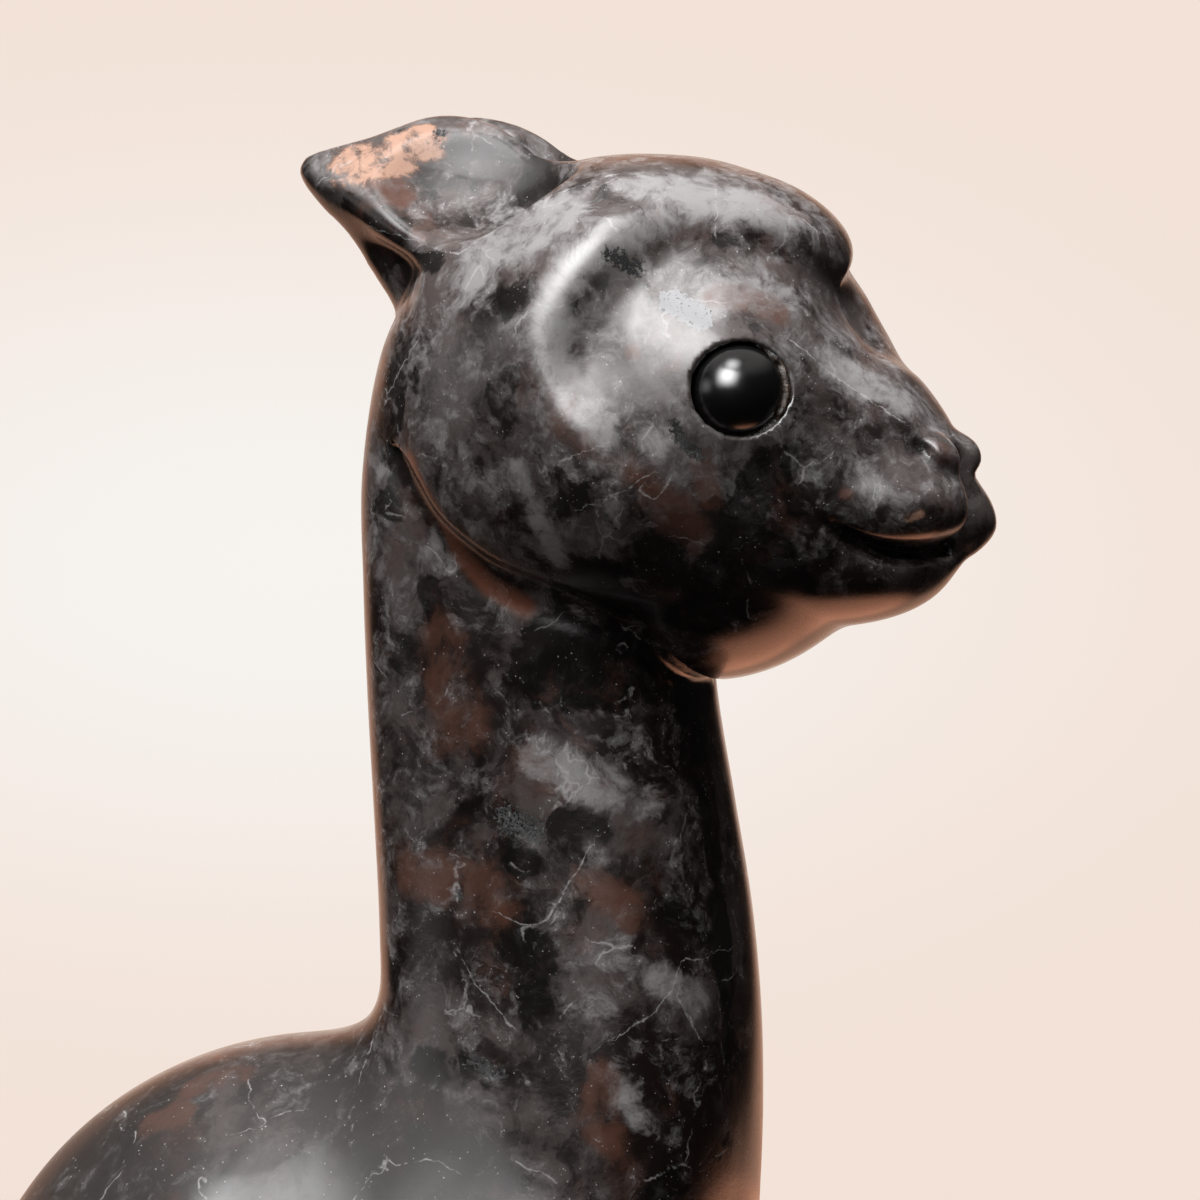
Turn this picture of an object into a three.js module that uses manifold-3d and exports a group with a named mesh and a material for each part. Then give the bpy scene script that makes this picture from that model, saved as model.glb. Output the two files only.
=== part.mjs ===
// A llama carved from one polished stone: head, ears and neck on a chest that is cut off flat,
// with a domed glass bead set in a drilled socket on each side for the eyes.
//
// Millimetres. +X is the way the llama looks, +Y is its left, +Z is up. The origin lies on the flat
// underside, below the middle of the neck, and the carving is the same on both sides of Y = 0.

import * as THREE from 'three';
import { mergeVertices } from 'three/addons/utils/BufferGeometryUtils.js';
import Module from 'manifold-3d';

// Driving dimensions: the whole figure, then the beads and how they sit in it. A bead's centre is
// set back from the skin, into the stone.
const FIGURE_HEIGHT = 62.5;
const FIGURE_BREADTH = 26.4;
const BEAD_DIAMETER = 5.0;
const BEAD_CLEARANCE = 0.3;
const BEAD_SET_BACK = 0.9;

// The carving below is written at this size, and stretched from it to the figure's own.
const CARVED_HEIGHT = 62.5;
const CARVED_BREADTH = 26.4;

const STONE_COLOUR = 0x3b3634;
const BEAD_COLOUR = 0x050505;

const DEGREE = Math.PI / 180;

// Small tools of the form: every shape is a function of a place that is negative inside the stone,
// zero on its skin, and close to the distance in millimetres elsewhere.

function clamp(value, low, high) {
  return Math.min(Math.max(value, low), high);
}

// Rises smoothly from 0 to 1 as its argument does.
function ease(t) {
  const s = clamp(t, 0, 1);
  return s * s * (3 - 2 * s);
}

function bell(t) {
  return Math.exp(-t * t);
}

// The nearer of two shapes, with the corner between them filled over a width of about `soft`.
function join(a, b, soft) {
  const h = clamp(1 - Math.abs(a - b) / soft, 0, 1);
  return Math.min(a, b) - h * h * soft / 4;
}

// What is left of a when b is cut away, with the edge eased over a width of about `soft`.
function carve(a, b, soft) {
  return -join(-a, b, soft);
}

// Reads a smooth curve through table rows [place, value, value, ...] at one place.
function along(rows, place, column) {
  const last = rows.length - 1;
  const at = clamp(place, rows[0][0], rows[last][0]);
  let i = 0;
  while (i < last - 1 && rows[i + 1][0] < at) {
    i += 1;
  }
  const gap = (k) => rows[k + 1][0] - rows[k][0];
  const slope = (k) => (rows[k + 1][column] - rows[k][column]) / gap(k);
  const tangent = (k) => {
    if (k === 0) {
      return slope(0);
    }
    if (k === last) {
      return slope(last - 1);
    }
    return (slope(k - 1) * gap(k) + slope(k) * gap(k - 1)) / (gap(k) + gap(k - 1));
  };
  const s = (at - rows[i][0]) / gap(i);
  const r = 1 - s;
  return rows[i][column] * (1 + 2 * s) * r * r + tangent(i) * gap(i) * s * r * r
    + rows[i + 1][column] * s * s * (3 - 2 * s) - tangent(i + 1) * gap(i) * s * s * r;
}

// An ellipsoid; a positive pitch tips its front down, a positive yaw turns it to the llama's left.
function ellipsoid([cx, cy, cz], [rx, ry, rz], pitch = 0, yaw = 0) {
  const cosPitch = Math.cos(pitch * DEGREE);
  const sinPitch = Math.sin(pitch * DEGREE);
  const cosYaw = Math.cos(yaw * DEGREE);
  const sinYaw = Math.sin(yaw * DEGREE);
  return (x, y, z) => {
    const forward = cosYaw * (x - cx) + sinYaw * (y - cy);
    const side = cosYaw * (y - cy) - sinYaw * (x - cx);
    const a = (cosPitch * forward - sinPitch * (z - cz)) / rx;
    const b = side / ry;
    const c = (sinPitch * forward + cosPitch * (z - cz)) / rz;
    const size = Math.hypot(a, b, c) + 1e-9;
    const steepness = Math.hypot(a / rx, b / ry, c / rz) + 1e-9;
    return size * (size - 1) / steepness;
  };
}

// A rod through points [x, y, z, radius], its radius changing evenly from each to the next.
function taperedRod(points, x, y, z) {
  let nearest = Infinity;
  for (let i = 0; i + 1 < points.length; i += 1) {
    const [ax, ay, az, startRadius] = points[i];
    const [bx, by, bz, endRadius] = points[i + 1];
    const [dx, dy, dz] = [bx - ax, by - ay, bz - az];
    const length = dx * dx + dy * dy + dz * dz;
    const t = clamp(((x - ax) * dx + (y - ay) * dy + (z - az) * dz) / length, 0, 1);
    const reach = Math.hypot(x - ax - t * dx, y - ay - t * dy, z - az - t * dz);
    nearest = Math.min(nearest, reach - startRadius - t * (endRadius - startRadius));
  }
  return nearest;
}

// Neck: a rounded square that leans back and widens to the chest. Rows from the bottom up:
// height, back, front, half breadth.
const NECK = [
  [-3, -14.0, 8.6, 10.5],
  [2, -11.8, 9.5, 9.8],
  [6, -10.2, 9.9, 9.0],
  [11, -9.3, 10.2, 8.4],
  [16, -9.1, 10.2, 7.9],
  [21, -9.3, 9.8, 7.5],
  [27, -9.7, 8.8, 7.2],
  [32, -10.0, 7.9, 7.1],
  [38, -10.2, 7.2, 7.2],
  [44, -10.1, 6.0, 7.5],
  [50, -8.8, 4.0, 7.4],
  [55, -6.5, 3.0, 6.0],
];
const NECK_SQUARENESS = 2.8;
const NECK_TOP = 54;

function neck(x, y, z) {
  const back = along(NECK, z, 1);
  const front = along(NECK, z, 2);
  const breadth = along(NECK, z, 3);
  const depth = (front - back) / 2;
  const a = Math.abs((x - (front + back) / 2) / depth);
  const b = Math.abs(y / breadth);
  const size = (a ** NECK_SQUARENESS + b ** NECK_SQUARENESS) ** (1 / NECK_SQUARENESS);
  return -join(-(size - 1) * Math.min(depth, breadth), NECK_TOP - z, 4);
}

// Head: an egg that runs out into the muzzle. Rows from the nape to the nose:
// place along X, underside, crown, half breadth.
const HEAD = [
  [-8.8, 46.5, 50.5, 3.0],
  [-7.4, 42.6, 53.6, 6.4],
  [-5, 39.0, 56.6, 8.8],
  [-1, 36.2, 59.2, 10.3],
  [4, 35.2, 60.2, 10.7],
  [9, 35.0, 59.2, 10.1],
  [12.5, 35.4, 56.4, 8.8],
  [15.5, 36.2, 53.2, 7.2],
  [18.5, 37.3, 50.2, 5.5],
  [21, 38.6, 47.9, 4.2],
  [22.4, 39.6, 46.3, 3.4],
];
const HEAD_SQUARENESS = 2.35;
const HEAD_END_SQUARENESS = 8;
const HEAD_END_MARGIN = 0.4;

function head(x, y, z) {
  const underside = along(HEAD, x, 1);
  const crown = along(HEAD, x, 2);
  const breadth = along(HEAD, x, 3);
  const height = (crown - underside) / 2;
  const [nape, nose] = [HEAD[0][0], HEAD[HEAD.length - 1][0]];
  const a = Math.abs((z - (crown + underside) / 2) / height) ** HEAD_SQUARENESS;
  const b = Math.abs(y / breadth) ** HEAD_SQUARENESS;
  const c = Math.abs((x - (nape + nose) / 2) / ((nose - nape) / 2 + HEAD_END_MARGIN));
  const size = (a + b + c ** HEAD_END_SQUARENESS) ** (1 / HEAD_SQUARENESS);
  return (size - 1) * Math.min(height, breadth) * 0.85;
}

// Rounded masses on the head, and the back below them. The two halves of the upper lip differ a
// little, the left one hanging lower. The web fills the space between the roots of the ears.
const BROW = ellipsoid([10.1, 0, 54.6], [6.5, 7.8, 4.8], 22);
const EYE_MOUND = ellipsoid([11.8, -5.0, 48.4], [4.4, 4.2, 4.9], 0, -20);
const RIGHT_LIP = ellipsoid([19.1, -2.4, 42.6], [4.2, 2.8, 2.5], 10, 12);
const LEFT_LIP = ellipsoid([19.3, 2.4, 42.0], [4.2, 2.8, 2.7], 16, -12);
const NOSE_WING = ellipsoid([21.6, -1.6, 44.9], [1.2, 1.1, 1.0], 40, 20);
const NOSTRIL = ellipsoid([21.4, -3.1, 45.2], [0.6, 0.5, 0.6], 30);
const CHIN = ellipsoid([17.2, 0, 39.0], [4.3, 4.4, 2.5], -6);
const THROAT = ellipsoid([10.0, 0, 37.0], [5.3, 5.6, 3.5], -20);
const EAR_WEB = ellipsoid([-5.4, 0, 55.5], [4.5, 4.8, 3.6], -10);

// The back narrows towards the neck, by `narrowing` of its breadth over `length`.
const BACK = ellipsoid([-12.8, 0, -6.7], [21.9, 14.4, 20.8]);
const SHOULDERS = { start: -18, length: 12, narrowing: 0.2 };

function back(x, y, z) {
  const breadth = 1 - SHOULDERS.narrowing * ease((x - SHOULDERS.start) / SHOULDERS.length);
  return BACK(x, y / breadth, z);
}

// The eye looks outwards and a little ahead, along an axis through EYE_LINE, which is close to the
// carved skin. Forward and up are its own other two directions.
const EYE_LINE = new THREE.Vector3(13.4, -8.3, 48.3);
const EYE_AXIS = new THREE.Vector3(0.30, -0.95, 0.08).normalize();
const EYE_FORWARD = new THREE.Vector3(0, 0, 1).cross(EYE_AXIS).normalize();
const EYE_UP = EYE_AXIS.clone().cross(EYE_FORWARD);

// An arc on the side of the head, round the eye. Its middle leans back from straight above the eye
// by `lean`, and it fades out at both ends, where what it has left of that direction is `ends`.
function arcLength(forward, up, { lean, ends, fade }) {
  const towards = up * Math.cos(lean * DEGREE) - forward * Math.sin(lean * DEGREE);
  return ease((towards / Math.hypot(forward, up) - ends) / fade);
}

// A groove runs in such an arc over the eye, from behind it to the bridge of the nose. Behind the
// eye it is a shallow valley, with a broad roll outside it, down the cheek. The roll draws in
// towards the eye by `narrowing`, from the steepness `high` of the way to it down to `low`.
const BROW_GROOVE = {
  radius: 7.1, growth: 0.6, depth: 0.85, shallowing: 0.35, width: 1.1, widening: 0.6,
  lean: 10, ends: -0.12, fade: 0.5,
};
const CHEEK_ROLL = {
  radius: 10.6, narrowing: 2.3, high: 0.35, low: -0.35, height: 0.95, width: 3.2,
  lean: 85, ends: 0.15, fade: 0.6,
};
const HEAD_CORE = -10.5;

// How far the groove cuts in, or less than nothing where the roll stands out.
function browRelief(x, y, z) {
  const from = new THREE.Vector3(x, y, z).sub(EYE_LINE);
  const forward = from.dot(EYE_FORWARD);
  const up = from.dot(EYE_UP);
  const apart = Math.hypot(forward, up) + 1e-6;
  const behind = ease(0.5 - forward / apart);
  const { radius, growth, depth, shallowing, width, widening } = BROW_GROOVE;
  const offset = (apart - radius - growth * behind) / (width + widening * behind);
  const groove = (depth - shallowing * behind) * arcLength(forward, up, BROW_GROOVE) * bell(offset);
  const { narrowing, high, low } = CHEEK_ROLL;
  const rollRadius = CHEEK_ROLL.radius - narrowing * ease((high - up / apart) / (high - low));
  const roll = CHEEK_ROLL.height * arcLength(forward, up, CHEEK_ROLL)
    * bell((apart - rollRadius) / CHEEK_ROLL.width);
  return ease((from.dot(EYE_AXIS) - HEAD_CORE) / 2) * (groove - roll);
}

// Mouth: a smiling line under the lips, from its corner to the front. It runs lower on the left,
// by `leftDrop`, and all but closes there at the front, along a slant across the muzzle.
const MOUTH = {
  corner: 16.6, lowest: 20.6, front: 20.8, height: 39.95, curve: 0.13, depth: 0.8, width: 0.6,
  leftDrop: 0.4, leftClosing: 0.8, slant: 0.6,
};

function mouthGroove(x, y, z) {
  const { corner, lowest, front, height, curve, depth, width, leftDrop, leftClosing, slant } = MOUTH;
  const line = height + curve * (x - lowest) ** 2 - leftDrop * ease(y / 3);
  const open = 1 - leftClosing * ease((x + slant * y - front) / 1.5);
  return depth * ease((x - corner) / 1.6) * open * bell((z - line) / width);
}

// The cleft that parts the upper lip, on the middle line.
const CLEFT = { back: 20.5, top: 45.6, bottom: 40.0, depth: 1.1, width: 0.65 };

function lipCleft(x, y, z) {
  const { back, top, bottom, depth, width } = CLEFT;
  const length = ease((x - back) / 1.5) * ease((top - z) / 1.5) * ease((z - bottom) / 1.2);
  return depth * length * bell(y / width);
}

// Ears: leaves laid back along the head, hollow on the outward face. An ear has its own axes:
// along it to the tip, across it to the lower rim, and out of its hollow.
const EAR_MIDDLE = new THREE.Vector3(-4.8, -3.5, 58.75);
const EAR_ALONG = new THREE.Vector3(-8.0, -0.6, 0.9).normalize();
const EAR_OUT = EAR_ALONG.clone().cross(new THREE.Vector3(-0.6, -3.6, -4.8)).normalize();
const EAR_ACROSS = EAR_OUT.clone().cross(EAR_ALONG);
const EAR_HALF_THICKNESS = 1.45;
const EAR_HALF_LENGTH = 8.5;

// Rows from the root to the tip: place along, reach to the upper rim, reach to the lower rim.
const EAR = [
  [-8.6, 0.6, 4.0],
  [-5.0, 1.9, 5.0],
  [-1.0, 4.1, 5.2],
  [2.0, 4.1, 4.0],
  [5.2, 2.0, 2.4],
  [7.4, 0.9, 1.5],
  [8.3, 0.6, 0.9],
];
const EAR_HOLLOW = ellipsoid([-2.2, 0.7, 2.2], [5.3, 3.7, 2.1]);
const EAR_ROOT = [
  [-10.3, -3.4, 58.0, 0.9],
  [-8.5, -3.0, 55.4, 1.3],
  [-6.3, -2.8, 53.2, 1.8],
];

function inEar(x, y, z) {
  const from = new THREE.Vector3(x, y, z).sub(EAR_MIDDLE);
  return [from.dot(EAR_ALONG), from.dot(EAR_ACROSS), from.dot(EAR_OUT)];
}

function ear(x, y, z) {
  const [length, across, out] = inEar(x, y, z);
  const reach = along(EAR, length, across < 0 ? 1 : 2);
  const rim = Math.abs(across / reach) ** 3;
  const face = Math.abs(out / EAR_HALF_THICKNESS) ** 2.2;
  const ends = Math.abs((length + 0.2) / EAR_HALF_LENGTH) ** 8;
  const leaf = (Math.sqrt(rim + face + ends) - 1) * 0.9;
  return join(leaf, taperedRod(EAR_ROOT, x, y, z), 1.5);
}

// Round the jaw the head meets the neck in a crease, and above this height it flows into it.
const CREASE_TOP = 43;

function headOnNeck(headShape, neckShape, z) {
  return join(headShape, neckShape, 0.8 + 0.7 * ease((z - CREASE_TOP) / 3));
}

// The whole carving, without the drilled sockets and without the flat cut. What is off the middle
// is carved alike on both sides, except the lips.
function carving(x, y, z) {
  const side = -Math.abs(y);
  let stone = head(x, y, z);
  stone = join(stone, BROW(x, y, z), 1.4);
  stone = join(stone, EYE_MOUND(x, side, z), 2.2);
  stone = join(stone, NOSE_WING(x, side, z), 0.6);
  stone += browRelief(x, side, z);
  stone = join(stone, RIGHT_LIP(x, y, z), 0.8);
  stone = join(stone, LEFT_LIP(x, y, z), 0.8);
  stone = join(stone, CHIN(x, y, z), 1.2);
  stone = join(stone, THROAT(x, y, z), 1.6);
  stone += mouthGroove(x, y, z);
  stone += lipCleft(x, y, z);
  stone = headOnNeck(stone, neck(x, y, z), z);
  stone = join(stone, back(x, y, z), 5.0);
  stone = join(stone, EAR_WEB(x, y, z), 1.5);
  stone = join(stone, ear(x, side, z), 1.0);
  stone = carve(stone, EAR_HOLLOW(...inEar(x, side, z)), 0.8);
  return carve(stone, NOSTRIL(x, side, z), 0.5);
}

// The carving at the figure's own size.
const STRETCH = FIGURE_HEIGHT / CARVED_HEIGHT;
const STRETCH_ACROSS = FIGURE_BREADTH / CARVED_BREADTH;

function figure(x, y, z) {
  return carving(x / STRETCH, y / STRETCH_ACROSS, z / STRETCH);
}

function steepest(shape, [x, y, z], reach = 0.02) {
  return [
    (shape(x + reach, y, z) - shape(x - reach, y, z)) / (2 * reach),
    (shape(x, y + reach, z) - shape(x, y - reach, z)) / (2 * reach),
    (shape(x, y, z + reach) - shape(x, y, z - reach)) / (2 * reach),
  ];
}

// Moves a point onto the skin of a shape. Where that is further than `limit`, the answer is the
// point given instead.
function ontoSkin(shape, start, limit, instead = start) {
  let point = start;
  for (let i = 0; i < 4; i += 1) {
    const slope = steepest(shape, point);
    const length = slope.reduce((sum, part) => sum + part * part, 1e-9);
    const value = shape(...point);
    point = point.map((part, k) => part - value * slope[k] / length);
  }
  const moved = Math.hypot(...point.map((part, k) => part - start[k]));
  return moved <= limit ? point : instead;
}

// Grid lines from the first stop to the last, each stretch with its own spacing.
function gridLines(start, ...stretches) {
  const lines = [start];
  for (const [end, spacing] of stretches) {
    const from = lines[lines.length - 1];
    const count = Math.round((end - from) / spacing);
    for (let i = 1; i <= count; i += 1) {
      lines.push(from + (end - from) * i / count);
    }
  }
  return lines;
}

// A shape's values at every crossing of three sets of grid lines. A place is one number, and a
// stride is what it grows by from one line to the next along X, Y or Z.
function sample(shape, lines) {
  const [nx, ny, nz] = lines.map((set) => set.length);
  const strides = [ny * nz, nz, 1];
  const values = new Float64Array(nx * ny * nz);
  for (let i = 0; i < nx; i += 1) {
    for (let j = 0; j < ny; j += 1) {
      for (let k = 0; k < nz; k += 1) {
        values[i * strides[0] + j * strides[1] + k] = shape(lines[0][i], lines[1][j], lines[2][k]);
      }
    }
  }
  return { lines, strides, values };
}

// Calls visit(i, j, k, place) for each grid crossing, from the first lines up to one before the last.
function forEachCell({ lines, strides }, first, visit) {
  const [nx, ny, nz] = lines.map((set) => set.length - 1);
  for (let i = first; i < nx; i += 1) {
    for (let j = first; j < ny; j += 1) {
      for (let k = first; k < nz; k += 1) {
        visit(i, j, k, i * strides[0] + j * strides[1] + k);
      }
    }
  }
}

// Where two parts of the stone would meet along a bare line, with only opposite corners of a grid
// square inside it, the thinner of the two gaps between them is filled.
const PINCH_FILL = -0.02;

function fillPinches(grid) {
  const { strides, values } = grid;
  let filled = true;
  while (filled) {
    filled = false;
    forEachCell(grid, 0, (i, j, k, here) => {
      for (const [u, v] of [[0, 1], [1, 2], [2, 0]]) {
        const square = [here, here + strides[u], here + strides[u] + strides[v], here + strides[v]];
        const [a, b, c, d] = square.map((place) => values[place] < 0);
        if (a === c && b === d && a !== b) {
          const [p, q] = a ? [square[1], square[3]] : [square[0], square[2]];
          values[values[p] < values[q] ? p : q] = PINCH_FILL;
          filled = true;
        }
      }
    });
  }
}

// Where the skin crosses the twelve edges of one grid cell.
const CORNERS = [0, 1, 2, 3, 4, 5, 6, 7].map((c) => [c & 1, (c >> 1) & 1, (c >> 2) & 1]);
const EDGES = CORNERS.flatMap((corner, c) => (
  [1, 2, 4].filter((bit) => !(c & bit)).map((bit) => [corner, CORNERS[c | bit]])));

function crossings({ lines, strides, values }, cell, here) {
  const valueAt = (corner) => (
    values[here + corner.reduce((sum, step, axis) => sum + step * strides[axis], 0)]);
  const found = [];
  for (const [from, to] of EDGES) {
    const [start, end] = [valueAt(from), valueAt(to)];
    if ((start < 0) !== (end < 0)) {
      const t = start / (start - end);
      found.push([0, 1, 2].map((axis) => {
        const a = lines[axis][cell[axis] + from[axis]];
        const b = lines[axis][cell[axis] + to[axis]];
        return a + t * (b - a);
      }));
    }
  }
  return found;
}

function average(points) {
  return [0, 1, 2].map((axis) => points.reduce((sum, point) => sum + point[axis], 0) / points.length);
}

// One vertex on the skin in each grid cell that the skin crosses.
function placeVertices(shape, grid) {
  const vertices = [];
  const vertexOf = new Map();
  forEachCell(grid, 0, (i, j, k, here) => {
    const found = crossings(grid, [i, j, k], here);
    if (found.length > 0) {
      const cell = [i, j, k].map((n, axis) => grid.lines[axis][n + 1] - grid.lines[axis][n]);
      vertexOf.set(here, vertices.length);
      vertices.push(ontoSkin(shape, average(found), Math.min(...cell) / 2));
    }
  });
  return { vertices, vertexOf };
}

// One four-sided face for each grid edge that the skin crosses, as its vertices in order.
function findFaces(grid, vertexOf) {
  const { strides, values } = grid;
  const faces = [];
  forEachCell(grid, 1, (i, j, k, here) => {
    for (let axis = 0; axis < 3; axis += 1) {
      const inside = values[here] < 0;
      const nextInside = values[here + strides[axis]] < 0;
      if (inside !== nextInside) {
        const u = strides[(axis + 1) % 3];
        const v = strides[(axis + 2) % 3];
        const face = [here - u - v, here - v, here, here - u].map((cell) => vertexOf.get(cell));
        faces.push(inside ? face : face.reverse());
      }
    }
  });
  return faces;
}

// Evens out the faces: each vertex goes part of the way to the middle of its neighbours, and back
// onto the skin, if that is close by.
const EVENING_ROUNDS = 2;
const EVENING_LIMIT = 0.25;

function evenOut(shape, vertices, faces) {
  const neighbours = vertices.map(() => []);
  for (const face of faces) {
    face.forEach((vertex, n) => neighbours[vertex].push(face[(n + 1) % 4]));
  }
  return vertices.map((vertex, n) => {
    const middle = average(neighbours[n].map((near) => vertices[near]));
    return ontoSkin(shape, average([vertex, middle]), EVENING_LIMIT, vertex);
  });
}

// Wraps a shape in a closed mesh, with each face split along its shorter diagonal.
function wrap(shape, lines) {
  const grid = sample(shape, lines);
  fillPinches(grid);
  const { vertices: placed, vertexOf } = placeVertices(shape, grid);
  const faces = findFaces(grid, vertexOf);
  let vertices = placed;
  for (let round = 0; round < EVENING_ROUNDS; round += 1) {
    vertices = evenOut(shape, vertices, faces);
  }
  const apart = (a, b) => Math.hypot(...vertices[a].map((part, axis) => part - vertices[b][axis]));
  const indices = faces.flatMap(([a, b, c, d]) => (
    apart(a, c) < apart(b, d) ? [a, b, c, a, c, d] : [a, b, d, b, c, d]));
  const geometry = new THREE.BufferGeometry();
  geometry.setAttribute('position', new THREE.Float32BufferAttribute(vertices.flat(), 3));
  geometry.setIndex(indices);
  return geometry;
}

const wasm = await Module();
wasm.setup();

function toSolid(geometry) {
  const bare = geometry.clone();
  bare.deleteAttribute('normal');
  bare.deleteAttribute('uv');
  const merged = mergeVertices(bare);
  return new wasm.Manifold(new wasm.Mesh({
    numProp: 3,
    vertProperties: new Float32Array(merged.attributes.position.array),
    triVerts: new Uint32Array(merged.index.array),
  }));
}

function toGeometry(solid) {
  const mesh = solid.getMesh();
  const geometry = new THREE.BufferGeometry();
  geometry.setAttribute('position', new THREE.BufferAttribute(mesh.vertProperties, 3));
  geometry.setIndex(new THREE.BufferAttribute(mesh.triVerts, 1));
  return geometry;
}

// Centre of a bead, on one side: where the eye's line of sight leaves the carved skin, set back.
function beadCentre(side) {
  const axis = new THREE.Vector3(EYE_AXIS.x, -side * EYE_AXIS.y, EYE_AXIS.z);
  const start = new THREE.Vector3(
    EYE_LINE.x * STRETCH,
    -side * EYE_LINE.y * STRETCH_ACROSS,
    EYE_LINE.z * STRETCH,
  );
  let inner = -BEAD_DIAMETER;
  let outer = BEAD_DIAMETER;
  const at = (distance) => start.clone().addScaledVector(axis, distance);
  for (let i = 0; i < 40; i += 1) {
    const middle = (inner + outer) / 2;
    if (figure(...at(middle)) < 0) {
      inner = middle;
    } else {
      outer = middle;
    }
  }
  return at(inner - BEAD_SET_BACK);
}

// A bead, or the socket drilled for it.
const BALL_SIDES = 20;

function ball(diameter, centre = new THREE.Vector3()) {
  const geometry = new THREE.SphereGeometry(diameter / 2, BALL_SIDES, BALL_SIDES / 2);
  geometry.translate(centre.x, centre.y, centre.z);
  return geometry;
}

// The stone: wrapped down to half of `BELOW` under the flat cut, then cut off and drilled. The grid
// is fine round the face and ears, and finest at the mouth. Its lines are at the carving's size.
const BELOW = 12;
const X_LINES = gridLines(-38.6, [-14, 3.5], [4, 1.4], [16, 1.25], [27, 0.9]);
const Y_LINES = gridLines(-18, [-12, 1.5], [12, 1.1], [18, 1.5]);
const Z_LINES = gridLines(-BELOW, [31, 3.9], [38.2, 1.2], [42.4, 0.7], [46.4, 1.0], [66, 1.2]);

function stoneFigure() {
  const stretches = [STRETCH, STRETCH_ACROSS, STRETCH];
  const lines = [X_LINES, Y_LINES, Z_LINES].map((set, axis) => set.map((at) => at * stretches[axis]));
  const closed = (x, y, z) => Math.max(figure(x, y, z), -BELOW * STRETCH / 2 - z);
  const room = 4 * FIGURE_HEIGHT;
  const slab = new THREE.BoxGeometry(room, room, room);
  slab.translate(0, 0, -room / 2);
  let solid = toSolid(wrap(closed, lines)).subtract(toSolid(slab));
  for (const side of [-1, 1]) {
    const socket = ball(BEAD_DIAMETER + 2 * BEAD_CLEARANCE, beadCentre(side));
    solid = solid.subtract(toSolid(socket));
  }
  return toGeometry(solid);
}

const stone = new THREE.MeshStandardMaterial({ color: STONE_COLOUR, roughness: 0.2, metalness: 0 });
const glass = new THREE.MeshStandardMaterial({ color: BEAD_COLOUR, roughness: 0.08, metalness: 0 });

const group = new THREE.Group();

const carved = new THREE.Mesh(stoneFigure(), stone);
carved.name = 'stone_figure';
group.add(carved);

for (const [name, side] of [['eye_right', -1], ['eye_left', 1]]) {
  const bead = new THREE.Mesh(ball(BEAD_DIAMETER), glass);
  bead.name = name;
  bead.position.copy(beadCentre(side));
  group.add(bead);
}

export default group;
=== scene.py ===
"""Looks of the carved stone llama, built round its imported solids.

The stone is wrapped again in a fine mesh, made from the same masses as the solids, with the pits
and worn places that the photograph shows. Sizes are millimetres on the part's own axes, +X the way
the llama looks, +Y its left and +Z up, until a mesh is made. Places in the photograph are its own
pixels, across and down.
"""

import math
from concurrent.futures import ThreadPoolExecutor

import bmesh
import bpy
import numpy as np
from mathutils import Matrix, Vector, noise


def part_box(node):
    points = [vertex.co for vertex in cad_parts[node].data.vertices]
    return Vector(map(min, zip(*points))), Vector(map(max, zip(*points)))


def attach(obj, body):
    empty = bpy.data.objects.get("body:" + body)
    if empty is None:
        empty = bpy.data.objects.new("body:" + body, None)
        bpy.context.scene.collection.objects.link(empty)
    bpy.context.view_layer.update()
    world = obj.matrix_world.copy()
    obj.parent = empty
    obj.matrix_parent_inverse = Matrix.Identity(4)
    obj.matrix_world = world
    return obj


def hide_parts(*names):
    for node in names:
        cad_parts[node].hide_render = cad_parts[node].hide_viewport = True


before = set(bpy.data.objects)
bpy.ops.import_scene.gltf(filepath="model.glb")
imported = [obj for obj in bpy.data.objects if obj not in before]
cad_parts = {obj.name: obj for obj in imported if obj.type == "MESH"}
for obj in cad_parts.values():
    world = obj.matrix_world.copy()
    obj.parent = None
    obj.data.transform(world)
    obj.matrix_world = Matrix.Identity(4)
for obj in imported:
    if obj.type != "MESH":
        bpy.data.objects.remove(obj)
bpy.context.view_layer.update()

MM = 0.001
TINY = 1e-9

# The photograph: its width in pixels, its scale at the figure, and where it was taken from.
PHOTO_WIDTH = 1200
PIXELS_PER_MM = 19.2
CAMERA_AZIMUTH = math.radians(24)
CAMERA_ELEVATION = math.radians(2)
CAMERA_DISTANCE = 360.0
CAMERA_AIM = np.array([2.2, 0.0, 37.25])
SENSOR_WIDTH = 36.0

TO_CAMERA = np.array([
    math.sin(CAMERA_AZIMUTH) * math.cos(CAMERA_ELEVATION),
    -math.cos(CAMERA_AZIMUTH) * math.cos(CAMERA_ELEVATION),
    math.sin(CAMERA_ELEVATION),
])
PHOTO_RIGHT = np.array([math.cos(CAMERA_AZIMUTH), math.sin(CAMERA_AZIMUTH), 0.0])
PHOTO_UP = np.cross(TO_CAMERA, PHOTO_RIGHT)
CAMERA_PLACE = CAMERA_AIM + CAMERA_DISTANCE * TO_CAMERA


# Small tools of the form. A shape is a function of arrays x, y and z that is negative inside the
# stone, zero on its skin, and close to the distance elsewhere.

def unit(vector):
    vector = np.asarray(vector, float)
    return vector / np.linalg.norm(vector)


def mirrored(vector):
    """The same on the llama's other side."""
    return np.array(vector) * (1, -1, 1)


def in_axes(x, y, z, origin, axes):
    """Places as distances along three axes from an origin."""
    dx, dy, dz = x - origin[0], y - origin[1], z - origin[2]
    return [dx * axis[0] + dy * axis[1] + dz * axis[2] for axis in axes]


def ease(t):
    """Rises smoothly from 0 to 1 as its argument does."""
    s = np.clip(t, 0, 1)
    return s * s * (3 - 2 * s)


def bell(t):
    return np.exp(-t * t)


def join(a, b, soft):
    """The nearer of two shapes, with the corner between them filled over a width of about soft."""
    h = np.clip(1 - np.abs(a - b) / soft, 0, 1)
    return np.minimum(a, b) - h * h * soft / 4


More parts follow.
